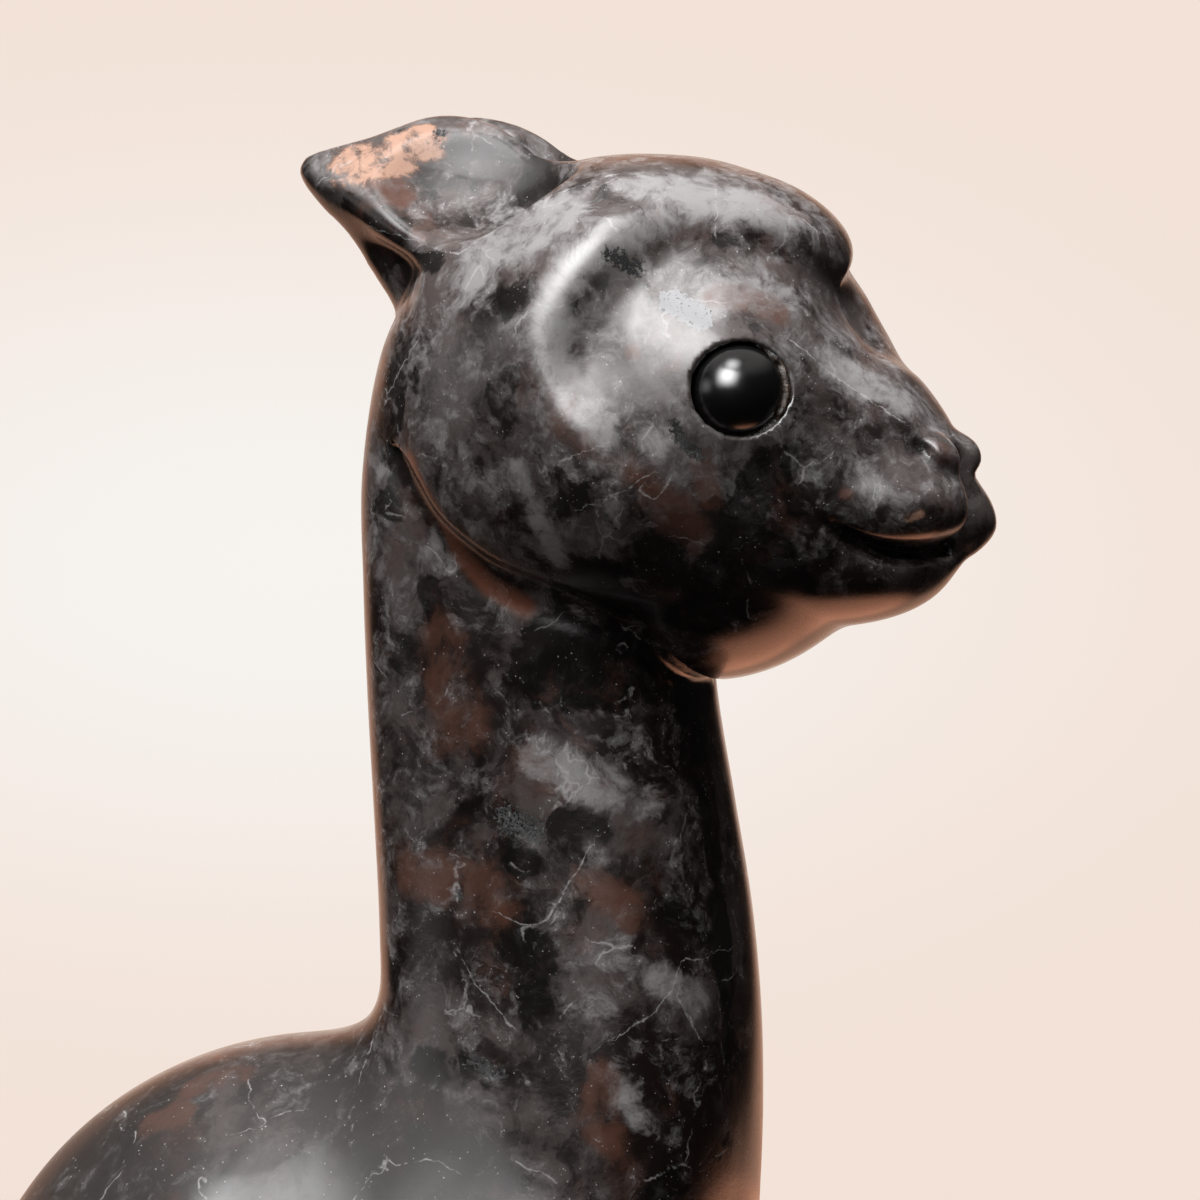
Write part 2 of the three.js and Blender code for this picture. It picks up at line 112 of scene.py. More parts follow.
def carve(a, b, soft):
    """What is left of a when b is cut away, with the edge eased over a width of about soft."""
    return -join(-a, b, soft)


CURVE_STEPS = 4000


def smooth_curve(rows, column):
    """A smooth curve through one column of table rows, over their first."""
    places = np.array([row[0] for row in rows], float)
    values = np.array([row[column] for row in rows], float)
    gaps = np.diff(places)
    slopes = np.diff(values) / gaps
    inner = (slopes[:-1] * gaps[1:] + slopes[1:] * gaps[:-1]) / (gaps[1:] + gaps[:-1])
    tangents = np.concatenate([slopes[:1], inner, slopes[-1:]])
    dense = np.linspace(places[0], places[-1], CURVE_STEPS)
    i = np.clip(np.searchsorted(places, dense) - 1, 0, len(gaps) - 1)
    s = (dense - places[i]) / gaps[i]
    r = 1 - s
    curve = (values[i] * (1 + 2 * s) * r * r + tangents[i] * gaps[i] * s * r * r
             + values[i + 1] * s * s * (3 - 2 * s) - tangents[i + 1] * gaps[i] * s * s * r)
    return lambda place: np.interp(place, dense, curve)


def ellipsoid(centre, radii, pitch=0, yaw=0):
    """An ellipsoid. Pitch, in degrees, tips its front down, and yaw turns it to the llama's left."""
    cx, cy, cz = centre
    rx, ry, rz = radii
    cos_pitch, sin_pitch = math.cos(math.radians(pitch)), math.sin(math.radians(pitch))
    cos_yaw, sin_yaw = math.cos(math.radians(yaw)), math.sin(math.radians(yaw))

    def shape(x, y, z):
        forward = cos_yaw * (x - cx) + sin_yaw * (y - cy)
        side = cos_yaw * (y - cy) - sin_yaw * (x - cx)
        a = (cos_pitch * forward - sin_pitch * (z - cz)) / rx
        b = side / ry
        c = (sin_pitch * forward + cos_pitch * (z - cz)) / rz
        size = np.sqrt(a * a + b * b + c * c) + TINY
        steepness = np.sqrt((a / rx) ** 2 + (b / ry) ** 2 + (c / rz) ** 2) + TINY
        return size * (size - 1) / steepness

    return shape


def tapered_rod(points, x, y, z):
    """A rod through points (x, y, z, radius), its radius changing evenly from each to the next."""
    nearest = np.inf
    for start, end in zip(points, points[1:]):
        ax, ay, az, start_radius = start
        dx, dy, dz = (end[k] - start[k] for k in range(3))
        length = dx * dx + dy * dy + dz * dz
        t = np.clip(((x - ax) * dx + (y - ay) * dy + (z - az) * dz) / length, 0, 1)
        reach = np.sqrt((x - ax - t * dx) ** 2 + (y - ay - t * dy) ** 2 + (z - az - t * dz) ** 2)
        nearest = np.minimum(nearest, reach - start_radius - t * (end[3] - start_radius))
    return nearest


# Neck: a rounded square that leans back and widens to the chest. Rows from the bottom up:
# height, back, front, half breadth.
NECK = [
    (-3, -14.0, 8.6, 10.5),
    (2, -11.8, 9.5, 9.8),
    (6, -10.2, 9.9, 9.0),
    (11, -9.3, 10.2, 8.4),
    (16, -9.1, 10.2, 7.9),
    (21, -9.3, 9.8, 7.5),
    (27, -9.7, 8.8, 7.2),
    (32, -10.0, 7.9, 7.1),
    (38, -10.2, 7.2, 7.2),
    (44, -10.1, 6.0, 7.5),
    (50, -8.8, 4.0, 7.4),
    (55, -6.5, 3.0, 6.0),
]
NECK_SQUARENESS = 2.8
NECK_TOP = 54
NECK_TOP_EDGE = 4
neck_back, neck_front, neck_breadth = (smooth_curve(NECK, column) for column in (1, 2, 3))


def neck(x, y, z):
    back, front, breadth = neck_back(z), neck_front(z), neck_breadth(z)
    depth = (front - back) / 2
    a = np.abs((x - (front + back) / 2) / depth) ** NECK_SQUARENESS
    b = np.abs(y / breadth) ** NECK_SQUARENESS
    size = (a + b) ** (1 / NECK_SQUARENESS)
    return -join(-(size - 1) * np.minimum(depth, breadth), NECK_TOP - z, NECK_TOP_EDGE)


# Head: an egg that runs out into the muzzle. Rows from the nape to the nose:
# place along X, underside, crown, half breadth.
HEAD = [
    (-8.8, 46.5, 50.5, 3.0),
    (-7.4, 42.6, 53.6, 6.4),
    (-5, 39.0, 56.6, 8.8),
    (-1, 36.2, 59.2, 10.3),
    (4, 35.2, 60.2, 10.7),
    (9, 35.0, 59.2, 10.1),
    (12.5, 35.4, 56.4, 8.8),
    (15.5, 36.2, 53.2, 7.2),
    (18.5, 37.3, 50.2, 5.5),
    (21, 38.6, 47.9, 4.2),
    (22.4, 39.6, 46.3, 3.4),
]
HEAD_SQUARENESS = 2.35
HEAD_END_SQUARENESS = 8
HEAD_END_MARGIN = 0.4
HEAD_STEEPNESS = 0.85
head_underside, head_crown, head_breadth = (smooth_curve(HEAD, column) for column in (1, 2, 3))


def head(x, y, z):
    underside, crown, breadth = head_underside(x), head_crown(x), head_breadth(x)
    height = (crown - underside) / 2
    nape, nose = HEAD[0][0], HEAD[-1][0]
    a = np.abs((z - (crown + underside) / 2) / height) ** HEAD_SQUARENESS
    b = np.abs(y / breadth) ** HEAD_SQUARENESS
    c = np.abs((x - (nape + nose) / 2) / ((nose - nape) / 2 + HEAD_END_MARGIN))
    size = (a + b + c ** HEAD_END_SQUARENESS) ** (1 / HEAD_SQUARENESS)
    return (size - 1) * np.minimum(height, breadth) * HEAD_STEEPNESS


# Rounded masses on the head, and the back below them. With each comes its blend, which is how widely
# the corner is filled where it is joined on, or the edge is eased where it is cut away.
UPPER_FACE = {
    "brow": (ellipsoid((10.1, 0, 54.6), (6.5, 7.8, 4.8), 22), 1.4),
    "eye mound": (ellipsoid((11.8, -5.0, 48.4), (4.4, 4.2, 4.9), 0, -20), 2.2),
    "nose wing": (ellipsoid((21.6, -1.6, 44.9), (1.2, 1.1, 1.0), 40, 20), 0.6),
}
LOWER_FACE = {
    "right lip": (ellipsoid((19.1, -2.4, 42.6), (4.2, 2.8, 2.5), 10, 12), 0.8),
    "left lip": (ellipsoid((19.3, 2.4, 42.0), (4.2, 2.8, 2.7), 16, -12), 0.8),
    "chin": (ellipsoid((17.2, 0, 39.0), (4.3, 4.4, 2.5), -6), 1.2),
    "throat": (ellipsoid((10.0, 0, 37.0), (5.3, 5.6, 3.5), -20), 1.6),
}
NOSE_LINE = [
    (20.9, -2.8, 45.5, 0.15),
    (21.9, -2.6, 44.5, 0.25),
    (22.7, -2.1, 44.0, 0.25),
    (23.0, -1.1, 43.8, 0.18),
]
NOSE_LINE_BLEND = 0.4
NOSTRIL = ellipsoid((21.4, -3.1, 45.2), (0.5, 0.45, 0.45), 30)
NOSTRIL_BLEND = 0.5
BACK = ellipsoid((-12.8, 0, -6.7), (21.9, 14.4, 20.8))
BACK_BLEND = 5.0
SHOULDER_START = -18
SHOULDER_LENGTH = 12
SHOULDER_NARROWING = 0.2


def shoulder_breadth(x):
    """The back narrows towards the neck, to this part of its breadth."""
    return 1 - SHOULDER_NARROWING * ease((x - SHOULDER_START) / SHOULDER_LENGTH)


# The eye's own axes, on the right side: forwards, up and out of the head.
EYE_LINE = np.array([13.4, -8.3, 48.3])
EYE_AXIS = unit((0.30, -0.95, 0.08))
EYE_FORWARD = unit(np.cross((0, 0, 1), EYE_AXIS))
EYE_UP = np.cross(EYE_AXIS, EYE_FORWARD)
EYE_AXES = (EYE_FORWARD, EYE_UP, EYE_AXIS)

# Groove that runs in an arc over the eye, from behind it to the bridge of the nose. Behind the eye
# it is a shallow valley, with a broad roll outside it. In the core of the head both are left out.
GROOVE_RADIUS = 7.1
GROOVE_GROWTH = 0.6
GROOVE_DEPTH = 0.85
GROOVE_SHALLOWING = 0.35
GROOVE_WIDTH = 1.1
GROOVE_WIDENING = 0.6
GROOVE_LEAN = math.radians(10)
GROOVE_ENDS = -0.12
GROOVE_FADE = 0.5
BEHIND_START = 0.5
ROLL_RADIUS = 10.6
ROLL_NARROWING = 2.3
ROLL_NARROWING_START = 0.35
ROLL_NARROWING_FADE = 0.7
ROLL_HEIGHT = 0.95
ROLL_WIDTH = 3.2
ROLL_LEAN = math.radians(85)
ROLL_ENDS = 0.15
ROLL_FADE = 0.6
HEAD_CORE = -10.5
HEAD_CORE_FADE = 2
LEAST_APART = 1e-6


def brow_groove(x, y, z):
    """How far the groove cuts in, or less than nothing where the roll stands out."""
    forward, up, outward = in_axes(x, y, z, EYE_LINE, EYE_AXES)
    apart = np.sqrt(forward * forward + up * up) + LEAST_APART

    def within(lean, ends, fade):
        overhead = (up * math.cos(lean) - forward * math.sin(lean)) / apart
        return ease((overhead - ends) / fade)

    outside = ease((outward - HEAD_CORE) / HEAD_CORE_FADE)
    behind = ease(BEHIND_START - forward / apart)
    depth = GROOVE_DEPTH - GROOVE_SHALLOWING * behind
    width = GROOVE_WIDTH + GROOVE_WIDENING * behind
    offset = (apart - GROOVE_RADIUS - GROOVE_GROWTH * behind) / width
    groove = depth * within(GROOVE_LEAN, GROOVE_ENDS, GROOVE_FADE) * bell(offset)
    narrowing = ease((ROLL_NARROWING_START - up / apart) / ROLL_NARROWING_FADE)
    offset = (apart - ROLL_RADIUS + ROLL_NARROWING * narrowing) / ROLL_WIDTH
    roll = ROLL_HEIGHT * within(ROLL_LEAN, ROLL_ENDS, ROLL_FADE) * bell(offset)
    return outside * (groove - roll)


# Mouth: a smiling line under the lips, which drops and closes at the left front, and the cleft that
# parts the upper lip on the middle line.
MOUTH_CORNER = 16.6
MOUTH_CORNER_FADE = 1.6
MOUTH_LOWEST = 20.6
MOUTH_HEIGHT = 39.95
MOUTH_CURVE = 0.13
MOUTH_DEPTH = 1.0
MOUTH_WIDTH = 0.45
MOUTH_LEFT_DROP = 0.4
MOUTH_LEFT_REACH = 3
MOUTH_FRONT = 20.8
MOUTH_FRONT_SLANT = 0.6
MOUTH_FRONT_FADE = 1.5
MOUTH_LEFT_CLOSING = 0.8
CLEFT_BACK = 20.5
CLEFT_TOP = 45.6
CLEFT_FADE = 1.5
CLEFT_BOTTOM = 40.0
CLEFT_BOTTOM_FADE = 1.2
CLEFT_DEPTH = 1.1
CLEFT_WIDTH = 0.5


def mouth_groove(x, y, z):
    drop = MOUTH_LEFT_DROP * ease(y / MOUTH_LEFT_REACH)
    line = MOUTH_HEIGHT + MOUTH_CURVE * (x - MOUTH_LOWEST) ** 2 - drop
    closing = ease((x + MOUTH_FRONT_SLANT * y - MOUTH_FRONT) / MOUTH_FRONT_FADE)
    depth = MOUTH_DEPTH * ease((x - MOUTH_CORNER) / MOUTH_CORNER_FADE)
    return depth * (1 - MOUTH_LEFT_CLOSING * closing) * bell((z - line) / MOUTH_WIDTH)


def lip_cleft(x, y, z):
    length = ease((x - CLEFT_BACK) / CLEFT_FADE) * ease((CLEFT_TOP - z) / CLEFT_FADE)
    length = length * ease((z - CLEFT_BOTTOM) / CLEFT_BOTTOM_FADE)
    return CLEFT_DEPTH * length * bell(y / CLEFT_WIDTH)


# Ears: leaves laid back along the head, hollow on the outward face, with a web between their roots.
# Rows from the root to the tip: place along, reach to the upper rim, reach to the lower rim.
EAR = [
    (-8.6, 0.6, 4.0),
    (-5.0, 1.9, 5.0),
    (-1.0, 4.1, 5.2),
    (2.0, 4.1, 4.0),
    (5.2, 2.0, 2.4),
    (7.4, 0.9, 1.5),
    (8.3, 0.6, 0.9),
]
EAR_MIDDLE = np.array([-4.8, -3.5, 58.75])
EAR_ALONG = unit((-8.0, -0.6, 0.9))
EAR_OUT = unit(np.cross(EAR_ALONG, (-0.6, -3.6, -4.8)))
EAR_ACROSS = np.cross(EAR_OUT, EAR_ALONG)
EAR_AXES = (EAR_ALONG, EAR_ACROSS, EAR_OUT)
EAR_HALF_THICKNESS = 1.45
EAR_HALF_LENGTH = 8.5
EAR_LENGTH_SHIFT = 0.2
EAR_RIM_SQUARENESS = 3
EAR_FACE_SQUARENESS = 2.2
EAR_END_SQUARENESS = 8
EAR_STEEPNESS = 0.9
EAR_BLEND = 1.0
EAR_HOLLOW = ellipsoid((-2.2, 0.7, 2.2), (5.3, 3.7, 2.1))
EAR_HOLLOW_BLEND = 0.8
EAR_ROOT = [
    (-10.3, -3.4, 58.0, 0.9),
    (-8.5, -3.0, 55.4, 1.3),
    (-6.3, -2.8, 53.2, 1.8),
]
EAR_ROOT_BLEND = 1.5
EAR_WEB = ellipsoid((-5.4, 0, 55.5), (4.5, 4.8, 3.6), -10)
EAR_WEB_BLEND = 1.5
ear_upper, ear_lower = (smooth_curve(EAR, column) for column in (1, 2))


def in_ear(x, y, z):
    return in_axes(x, y, z, EAR_MIDDLE, EAR_AXES)


def ear(x, y, z):
    length, across, out = in_ear(x, y, z)
    reach = np.where(across < 0, ear_upper(length), ear_lower(length))
    rim = np.abs(across / reach) ** EAR_RIM_SQUARENESS
    face = np.abs(out / EAR_HALF_THICKNESS) ** EAR_FACE_SQUARENESS
    ends = np.abs((length + EAR_LENGTH_SHIFT) / EAR_HALF_LENGTH) ** EAR_END_SQUARENESS
    leaf = (np.sqrt(rim + face + ends) - 1) * EAR_STEEPNESS
    return join(leaf, tapered_rod(EAR_ROOT, x, y, z), EAR_ROOT_BLEND)


# A cove is cut into the edge of the jaw where it meets the neck, and runs out at the nape. Above it
# the head flows into the neck.
COVE_RADIUS = 0.55
COVE_BITE = 0.22
COVE_EDGE = 0.25
COVE_NAPE = -8.5
COVE_NAPE_FADE = 2
COVE_TOP = 46.5
COVE_TOP_FADE = 3.5
COVE_LEAST = 0.01
CREASE_BLEND = 0.5
CREASE_WIDENING = 1.0
CREASE_FADE = 3


def head_on_neck(head_shape, neck_shape, x, z):
    widening = CREASE_WIDENING * ease((z - COVE_TOP + COVE_TOP_FADE) / CREASE_FADE)
    joined = join(head_shape, neck_shape, CREASE_BLEND + widening)
    size = ease((x - COVE_NAPE) / COVE_NAPE_FADE) * ease((COVE_TOP - z) / COVE_TOP_FADE)
    radius = COVE_RADIUS * size
    cove = np.hypot(head_shape - radius + COVE_BITE * size, neck_shape - radius) - radius
    return np.where(size < COVE_LEAST, joined, carve(joined, cove, COVE_EDGE))


def join_all(stone, masses, x, y, z):
    for mass, blend in masses.values():
        stone = join(stone, mass(x, y, z), blend)
    return stone


def carving(x, y, z):
    """The whole carving, without the drilled sockets and without the flat cut."""
    side = -np.abs(y)
    stone = join_all(head(x, y, z), UPPER_FACE, x, side, z) + brow_groove(x, side, z)
    stone = join_all(stone, LOWER_FACE, x, y, z) + mouth_groove(x, y, z) + lip_cleft(x, y, z)
    stone = head_on_neck(stone, neck(x, y, z), x, z)
    stone = join(stone, BACK(x, y / shoulder_breadth(x), z), BACK_BLEND)
    stone = join(stone, EAR_WEB(x, y, z), EAR_WEB_BLEND)
    stone = join(stone, ear(x, side, z), EAR_BLEND)
    stone = carve(stone, EAR_HOLLOW(*in_ear(x, side, z)), EAR_HOLLOW_BLEND)
    stone = carve(stone, tapered_rod(NOSE_LINE, x, side, z), NOSE_LINE_BLEND)
    return carve(stone, NOSTRIL(x, side, z), NOSTRIL_BLEND)


def bead_box(node):
    """The middle and the radius of a bead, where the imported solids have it."""
    low, high = (np.array(corner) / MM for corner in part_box(node))
    return (low + high) / 2, float((high - low).max()) / 2


# A socket is a little longer than it is high, and wider than the bead all round.
RIGHT_BEAD, BEAD_RADIUS = bead_box("eye_right")
LEFT_BEAD, _ = bead_box("eye_left")
SOCKET_LENGTH = BEAD_RADIUS + 0.25
SOCKET_HEIGHT = BEAD_RADIUS + 0.16
SOCKET_EDGE = 0.3
UNDERSIDE_EDGE = 0.5


def socket(x, y, z):
    forward, up, outward = in_axes(x, y, z, RIGHT_BEAD, EYE_AXES)
    size = np.sqrt((forward / SOCKET_LENGTH) ** 2 + (up ** 2 + outward ** 2) / SOCKET_HEIGHT ** 2)
    return (size - 1) * SOCKET_HEIGHT


def stone_shape(x, y, z):
    stone = carve(carving(x, y, z), socket(x, -np.abs(y), z), SOCKET_EDGE)
    return carve(stone, z, UNDERSIDE_EDGE)


# Wrapping a shape in a mesh. Points are worked out in shares, and grid lines sampled in blocks.
SHARE = 40000
BLOCK = 4
SLOPE_STEP = 0.01
NEAR_REACHES = 2
NEAR_MARGIN = 0.5


def evaluate(shape, points):
    """A shape's values at many points, worked out a share at a time on every core."""
    shares = np.array_split(np.asarray(points, float), max(1, len(points) // SHARE))
    with ThreadPoolExecutor() as workers:
        return np.concatenate(list(workers.map(lambda share: shape(*share.T), shares)))


def steepest(shape, points, values):
    """The way in which a shape's value grows fastest at each point, and how fast."""
    stepped = [evaluate(shape, points + SLOPE_STEP * axis) for axis in np.eye(3)]
    return (np.stack(stepped, axis=1) - values[:, None]) / SLOPE_STEP


def onto_skin(shape, points, limit, rounds):
    """Points moved onto the skin of a shape, except those that would go further than limit."""
    moved = points
    for _ in range(rounds):
        values = evaluate(shape, moved)
        slope = steepest(shape, moved, values)
        moved = moved - slope * (values / ((slope ** 2).sum(axis=1) + TINY))[:, None]
    far = np.linalg.norm(moved - points, axis=1) > limit
    moved[far] = points[far]
    return moved


def grid_lines(start, *stretches):
    """Grid lines from a start through stretches (end, spacing), in whole blocks."""
    lines = [start]
    for end, spacing in stretches:
        count = round((end - lines[-1]) / spacing)
        lines.extend(np.linspace(lines[-1], end, count + 1)[1:])
    while len(lines) % BLOCK:
        lines.append(2 * lines[-1] - lines[-2])
    return np.array(lines)


def sample(shape, lines):
    """A shape's values at every crossing of the grid lines, exact only in blocks near its skin."""
    blocks = [set_of_lines.reshape(-1, BLOCK) for set_of_lines in lines]
    middles = [rows.mean(axis=1) for rows in blocks]
    halves = [(rows[:, -1] - rows[:, 0]) / 2 for rows in blocks]
    centres = np.stack(np.meshgrid(*middles, indexing="ij"), axis=-1)
    reach = np.linalg.norm(np.stack(np.meshgrid(*halves, indexing="ij"), axis=-1), axis=-1)
    rough = evaluate(shape, centres.reshape(-1, 3)).reshape(reach.shape)
    values = rough
    for axis in range(3):
        values = np.repeat(values, BLOCK, axis=axis)
    near = np.argwhere(np.abs(rough) < NEAR_REACHES * reach + NEAR_MARGIN)
    steps = np.stack(np.meshgrid(*[range(BLOCK)] * 3, indexing="ij"), axis=-1).reshape(-1, 3)
    crossings = (near[:, None] * BLOCK + steps).reshape(-1, 3)
    points = np.stack([lines[axis][crossings[:, axis]] for axis in range(3)], axis=1)
    values[tuple(crossings.T)] = evaluate(shape, points)
    return values


def wrap(shape, lines):
    """A closed mesh round a shape: one vertex in each grid cell that the skin crosses, and one
    four-sided face for each grid edge that it crosses."""
    values = sample(shape, lines)
    strides = np.array([values.shape[1] * values.shape[2], values.shape[2], 1])
    flat = values.ravel()
    places, cells, faces = [], [], []
    for axis in range(3):
        here_inside = np.take(values, range(values.shape[axis] - 1), axis) < 0
        next_inside = np.take(values, range(1, values.shape[axis]), axis) < 0
        edges = np.argwhere(here_inside != next_inside)
        here = edges @ strides
        start, end = flat[here], flat[here + strides[axis]]
        place = np.stack([lines[k][edges[:, k]] for k in range(3)], axis=1)
        step = lines[axis][edges[:, axis] + 1] - place[:, axis]
        place[:, axis] += step * start / (start - end)
        u, v = strides[(axis + 1) % 3], strides[(axis + 2) % 3]
        around = np.stack([here - u - v, here - v, here, here - u], axis=1)
        faces.append(np.where((start < 0)[:, None], around, around[:, ::-1]))
        cells.append(around)
        places.append(np.repeat(place[:, None], 4, axis=1))
    cells = np.concatenate(cells).ravel()
    places = np.concatenate(places).reshape(-1, 3)
    used, cells = np.unique(cells, return_inverse=True)
    count = np.bincount(cells)
    sums = np.stack([np.bincount(cells, weights=places[:, k]) for k in range(3)], axis=1)
    return sums / count[:, None], np.searchsorted(used, np.concatenate(faces))


def even_out(vertices, faces):
    """Each vertex goes half of the way to the middle of its neighbours."""
    total = np.zeros_like(vertices)
    for side in range(4):
        np.add.at(total, faces[:, side], vertices[faces[:, (side + 1) % 4]])
    count = np.bincount(faces.ravel(), minlength=len(vertices))
    return (vertices + total / count[:, None]) / 2


# Marks on the stone, and painted shade, highlight and reflection. A patch or pit is a stroke of
# pixels in the photograph and half its breadth in millimetres, and a vein is a stroke of pixels.
BROWN_PATCHES = [
    (((445, 650), (462, 735)), 1.7),
    (((415, 870), (495, 900)), 1.5),
    (((590, 875), (632, 915)), 1.0),
    (((870, 310), (905, 350), (938, 408)), 1.2),
    (((720, 295), (778, 312)), 0.9),
    (((632, 352),), 0.5),
    (((399, 195), (380, 175)), 0.8),
    (((200, 1085), (240, 1075)), 1.1),
    (((150, 1125), (180, 1112)), 0.9),
    (((700, 460), (712, 500)), 0.7),
    (((600, 1080), (605, 1130)), 1.1),
    (((640, 490), (690, 530)), 1.3),
    (((938, 450), (952, 460)), 0.7),
    (((845, 492),), 0.35),
]
# Pale stone, and a painted highlight along the ridge behind the eye, which is the first stroke.
PALE_AND_HIGHLIGHT_PATCHES = [
    (((655, 222), (592, 250), (552, 290), (549, 325), (562, 378), (598, 428)), 1.0),
    (((714, 300), (786, 300)), 0.9),
    (((640, 185), (720, 200), (770, 210)), 1.4),
    (((480, 265), (560, 215)), 1.8),
    (((560, 560), (520, 470)), 0.6),
    (((610, 1075), (645, 1125)), 0.7),
    (((830, 360), (900, 400)), 1.0),
    (((540, 760), (640, 800)), 1.2),
    (((660, 980), (700, 1000)), 0.9),
    (((590, 848), (600, 855)), 0.5),
]
PEACH_PATCHES = [
    (((352, 165), (385, 160), (418, 142)), 1.5),
    (((908, 518), (920, 514)), 0.35),
]
# A painted reflection of the copper backdrop, in the cove between the jaw and the neck.
COPPER_REFLECTION_PATCHES = [
    (((411, 462), (436, 510), (462, 556), (490, 585), (525, 606)), 0.55),
]
# Black stone, with painted shade and a painted dark reflection among the strokes.
BLACK_AND_SHADE_PATCHES = [
    # Painted shade on the neck under the jaw.
    (((540, 660), (600, 665), (700, 680)), 1.8),
    # Painted shade along the underside of the jaw.
    (((600, 585), (700, 600), (770, 560)), 2.0),
    (((735, 510), (770, 470)), 1.2),
    # A painted dark reflection down the front of the neck.
    (((700, 740), (718, 900), (728, 1040)), 0.9),
    # Painted shade in the ear's hollow.
    (((440, 170), (515, 160)), 1.8),
    # Painted shade under the ear's lower rim.
    (((350, 205), (395, 225)), 0.8),
    # Painted shade in the notch between the ear and the head.
    (((410, 268), (438, 262)), 0.7),
    (((520, 930), (540, 1010)), 1.3),
    (((425, 1060), (480, 1080)), 1.0),
    # Painted shade in the groove over the eye.
    (((722, 240), (755, 243), (788, 258)), 0.5),
    # Painted shade along the mouth.
    (((852, 530), (905, 550), (945, 545)), 0.6),
    # Painted shade below the cove.
    (((425, 580), (445, 640)), 0.6),
    # Painted shade low on the shoulder.
    (((440, 1150), (400, 1180)), 1.6),
    (((505, 815), (520, 860)), 0.9),
]
# Rougher places. Low on the back they are also darkened, a painted shade.
DULL_AND_SHADE_PATCHES = [
    (((60, 1180), (160, 1130), (300, 1110), (400, 1160)), 5.0),
    (((618, 275), (603, 330), (618, 385), (665, 420)), 1.0),
    (((582, 400), (600, 415)), 0.7),
    (((290, 1195), (440, 1195)), 4.0),
    (((400, 185), (450, 165), (520, 155)), 1.9),
]
WORN_PATCHES = [
    (((672, 302), (700, 318)), 0.75),
]
PITS = [
    (((612, 255), (635, 268)), 0.45),
    (((505, 815), (535, 832)), 0.6),
    (((439, 133),), 0.3),
    (((674, 425), (684, 445), (700, 456)), 0.3),
    (((921, 447),), 0.2),
    (((458, 893),), 0.2),
    (((470, 1060), (500, 1075)), 0.35),
    (((560, 700),), 0.2),
]
PATCHES = {
    "brown": BROWN_PATCHES,
    "pale": PALE_AND_HIGHLIGHT_PATCHES,
    "peach": PEACH_PATCHES,
    "copper": COPPER_REFLECTION_PATCHES,
    "black": BLACK_AND_SHADE_PATCHES,
    "dull": DULL_AND_SHADE_PATCHES,
    "worn": WORN_PATCHES,
    "pit": PITS,
}
VEINS = [
    ((370, 227), (458, 254), (553, 195), (618, 174)),
    ((716, 192), (716, 235)),
    ((560, 462), (595, 448)),
    ((583, 508), (622, 492), (648, 476)),
    ((503, 915), (525, 926), (545, 922), (566, 890), (590, 848)),
    ((463, 960), (475, 985), (510, 1025)),
    ((620, 1035), (650, 1015), (673, 990), (680, 960), (730, 950)),
    ((673, 990), (700, 1040)),
    ((790, 340), (840, 380), (900, 420)),
    ((640, 490), (655, 500), (670, 480)),
]
VEIN_REACH = 0.7
MARK_EDGE = 1.5
NO_VEIN_NEAR = 99.0
PIT_DEPTH = 0.1
PIT_LUMPS_PER_MM = 1.7
PIT_LEAST = 0.01

# Rays start and give up this far before and past the camera's aim. A step covers this part of the
# distance to the stone.
RAY_START = 45
RAY_END = 8
RAY_STEPS = 90
RAY_STRIDE = 0.7


def seen_on(shape, pixels):
    """Where rays through pixels of the photograph first meet a shape."""
    pixels = np.asarray(pixels, float)
    across = (pixels[:, :1] - PHOTO_WIDTH / 2) / PIXELS_PER_MM
    upwards = (PHOTO_WIDTH / 2 - pixels[:, 1:]) / PIXELS_PER_MM
    rays = CAMERA_AIM + across * PHOTO_RIGHT + upwards * PHOTO_UP - CAMERA_PLACE
    rays = rays / np.linalg.norm(rays, axis=1)[:, None]
    reach = np.full(len(pixels), CAMERA_DISTANCE - RAY_START)
    for _ in range(RAY_STEPS):
        places = CAMERA_PLACE + rays * reach[:, None]
        reach = np.minimum(reach + RAY_STRIDE * shape(*places.T), CAMERA_DISTANCE + RAY_END)
    return CAMERA_PLACE + rays * reach[:, None]


def distance_to_stroke(points, stroke):
    """How far points are from a line through the places of a stroke."""
    nearest = np.linalg.norm(points - stroke[0], axis=1)
    for start, end in zip(stroke, stroke[1:]):
        span = end - start
        t = np.clip((points - start) @ span / (span @ span), 0, 1)
        nearest = np.minimum(nearest, np.linalg.norm(points - start - t[:, None] * span, axis=1))
    return nearest


def patches(points, marks):
    """How strongly points lie in patches, from 0 to 1."""
    strength = np.zeros(len(points))
    for stroke, half_breadth in marks:
        apart = distance_to_stroke(points, seen_on(carving, stroke))
        strength = np.maximum(strength, ease(MARK_EDGE - apart / half_breadth))
    return strength


def vein_sides(points):
    """How far points are to the side of the nearest vein, and how strong the vein is there."""
    side = np.full(len(points), NO_VEIN_NEAR)
    for line in VEINS:
        stroke = seen_on(carving, line)
        for start, end in zip(stroke, stroke[1:]):
            apart = distance_to_stroke(points, [start, end])
            across = (points - start) @ np.cross(end - start, TO_CAMERA)
            nearer = apart < np.abs(side)
            side[nearer] = (apart * np.sign(across))[nearer]
    return side, ease(MARK_EDGE - np.abs(side) / VEIN_REACH)


def pitted(vertices):
    """The vertices of the stone with its pits sunk in, rough at the bottom."""
    strength = patches(vertices, PITS)
    outwards = steepest(stone_shape, vertices, evaluate(stone_shape, vertices))
    for i in np.flatnonzero(strength > PIT_LEAST):
        roughness = 0.5 + noise.noise(Vector(vertices[i] * PIT_LUMPS_PER_MM))
        vertices[i] -= unit(outwards[i]) * PIT_DEPTH * strength[i] * roughness
    return vertices


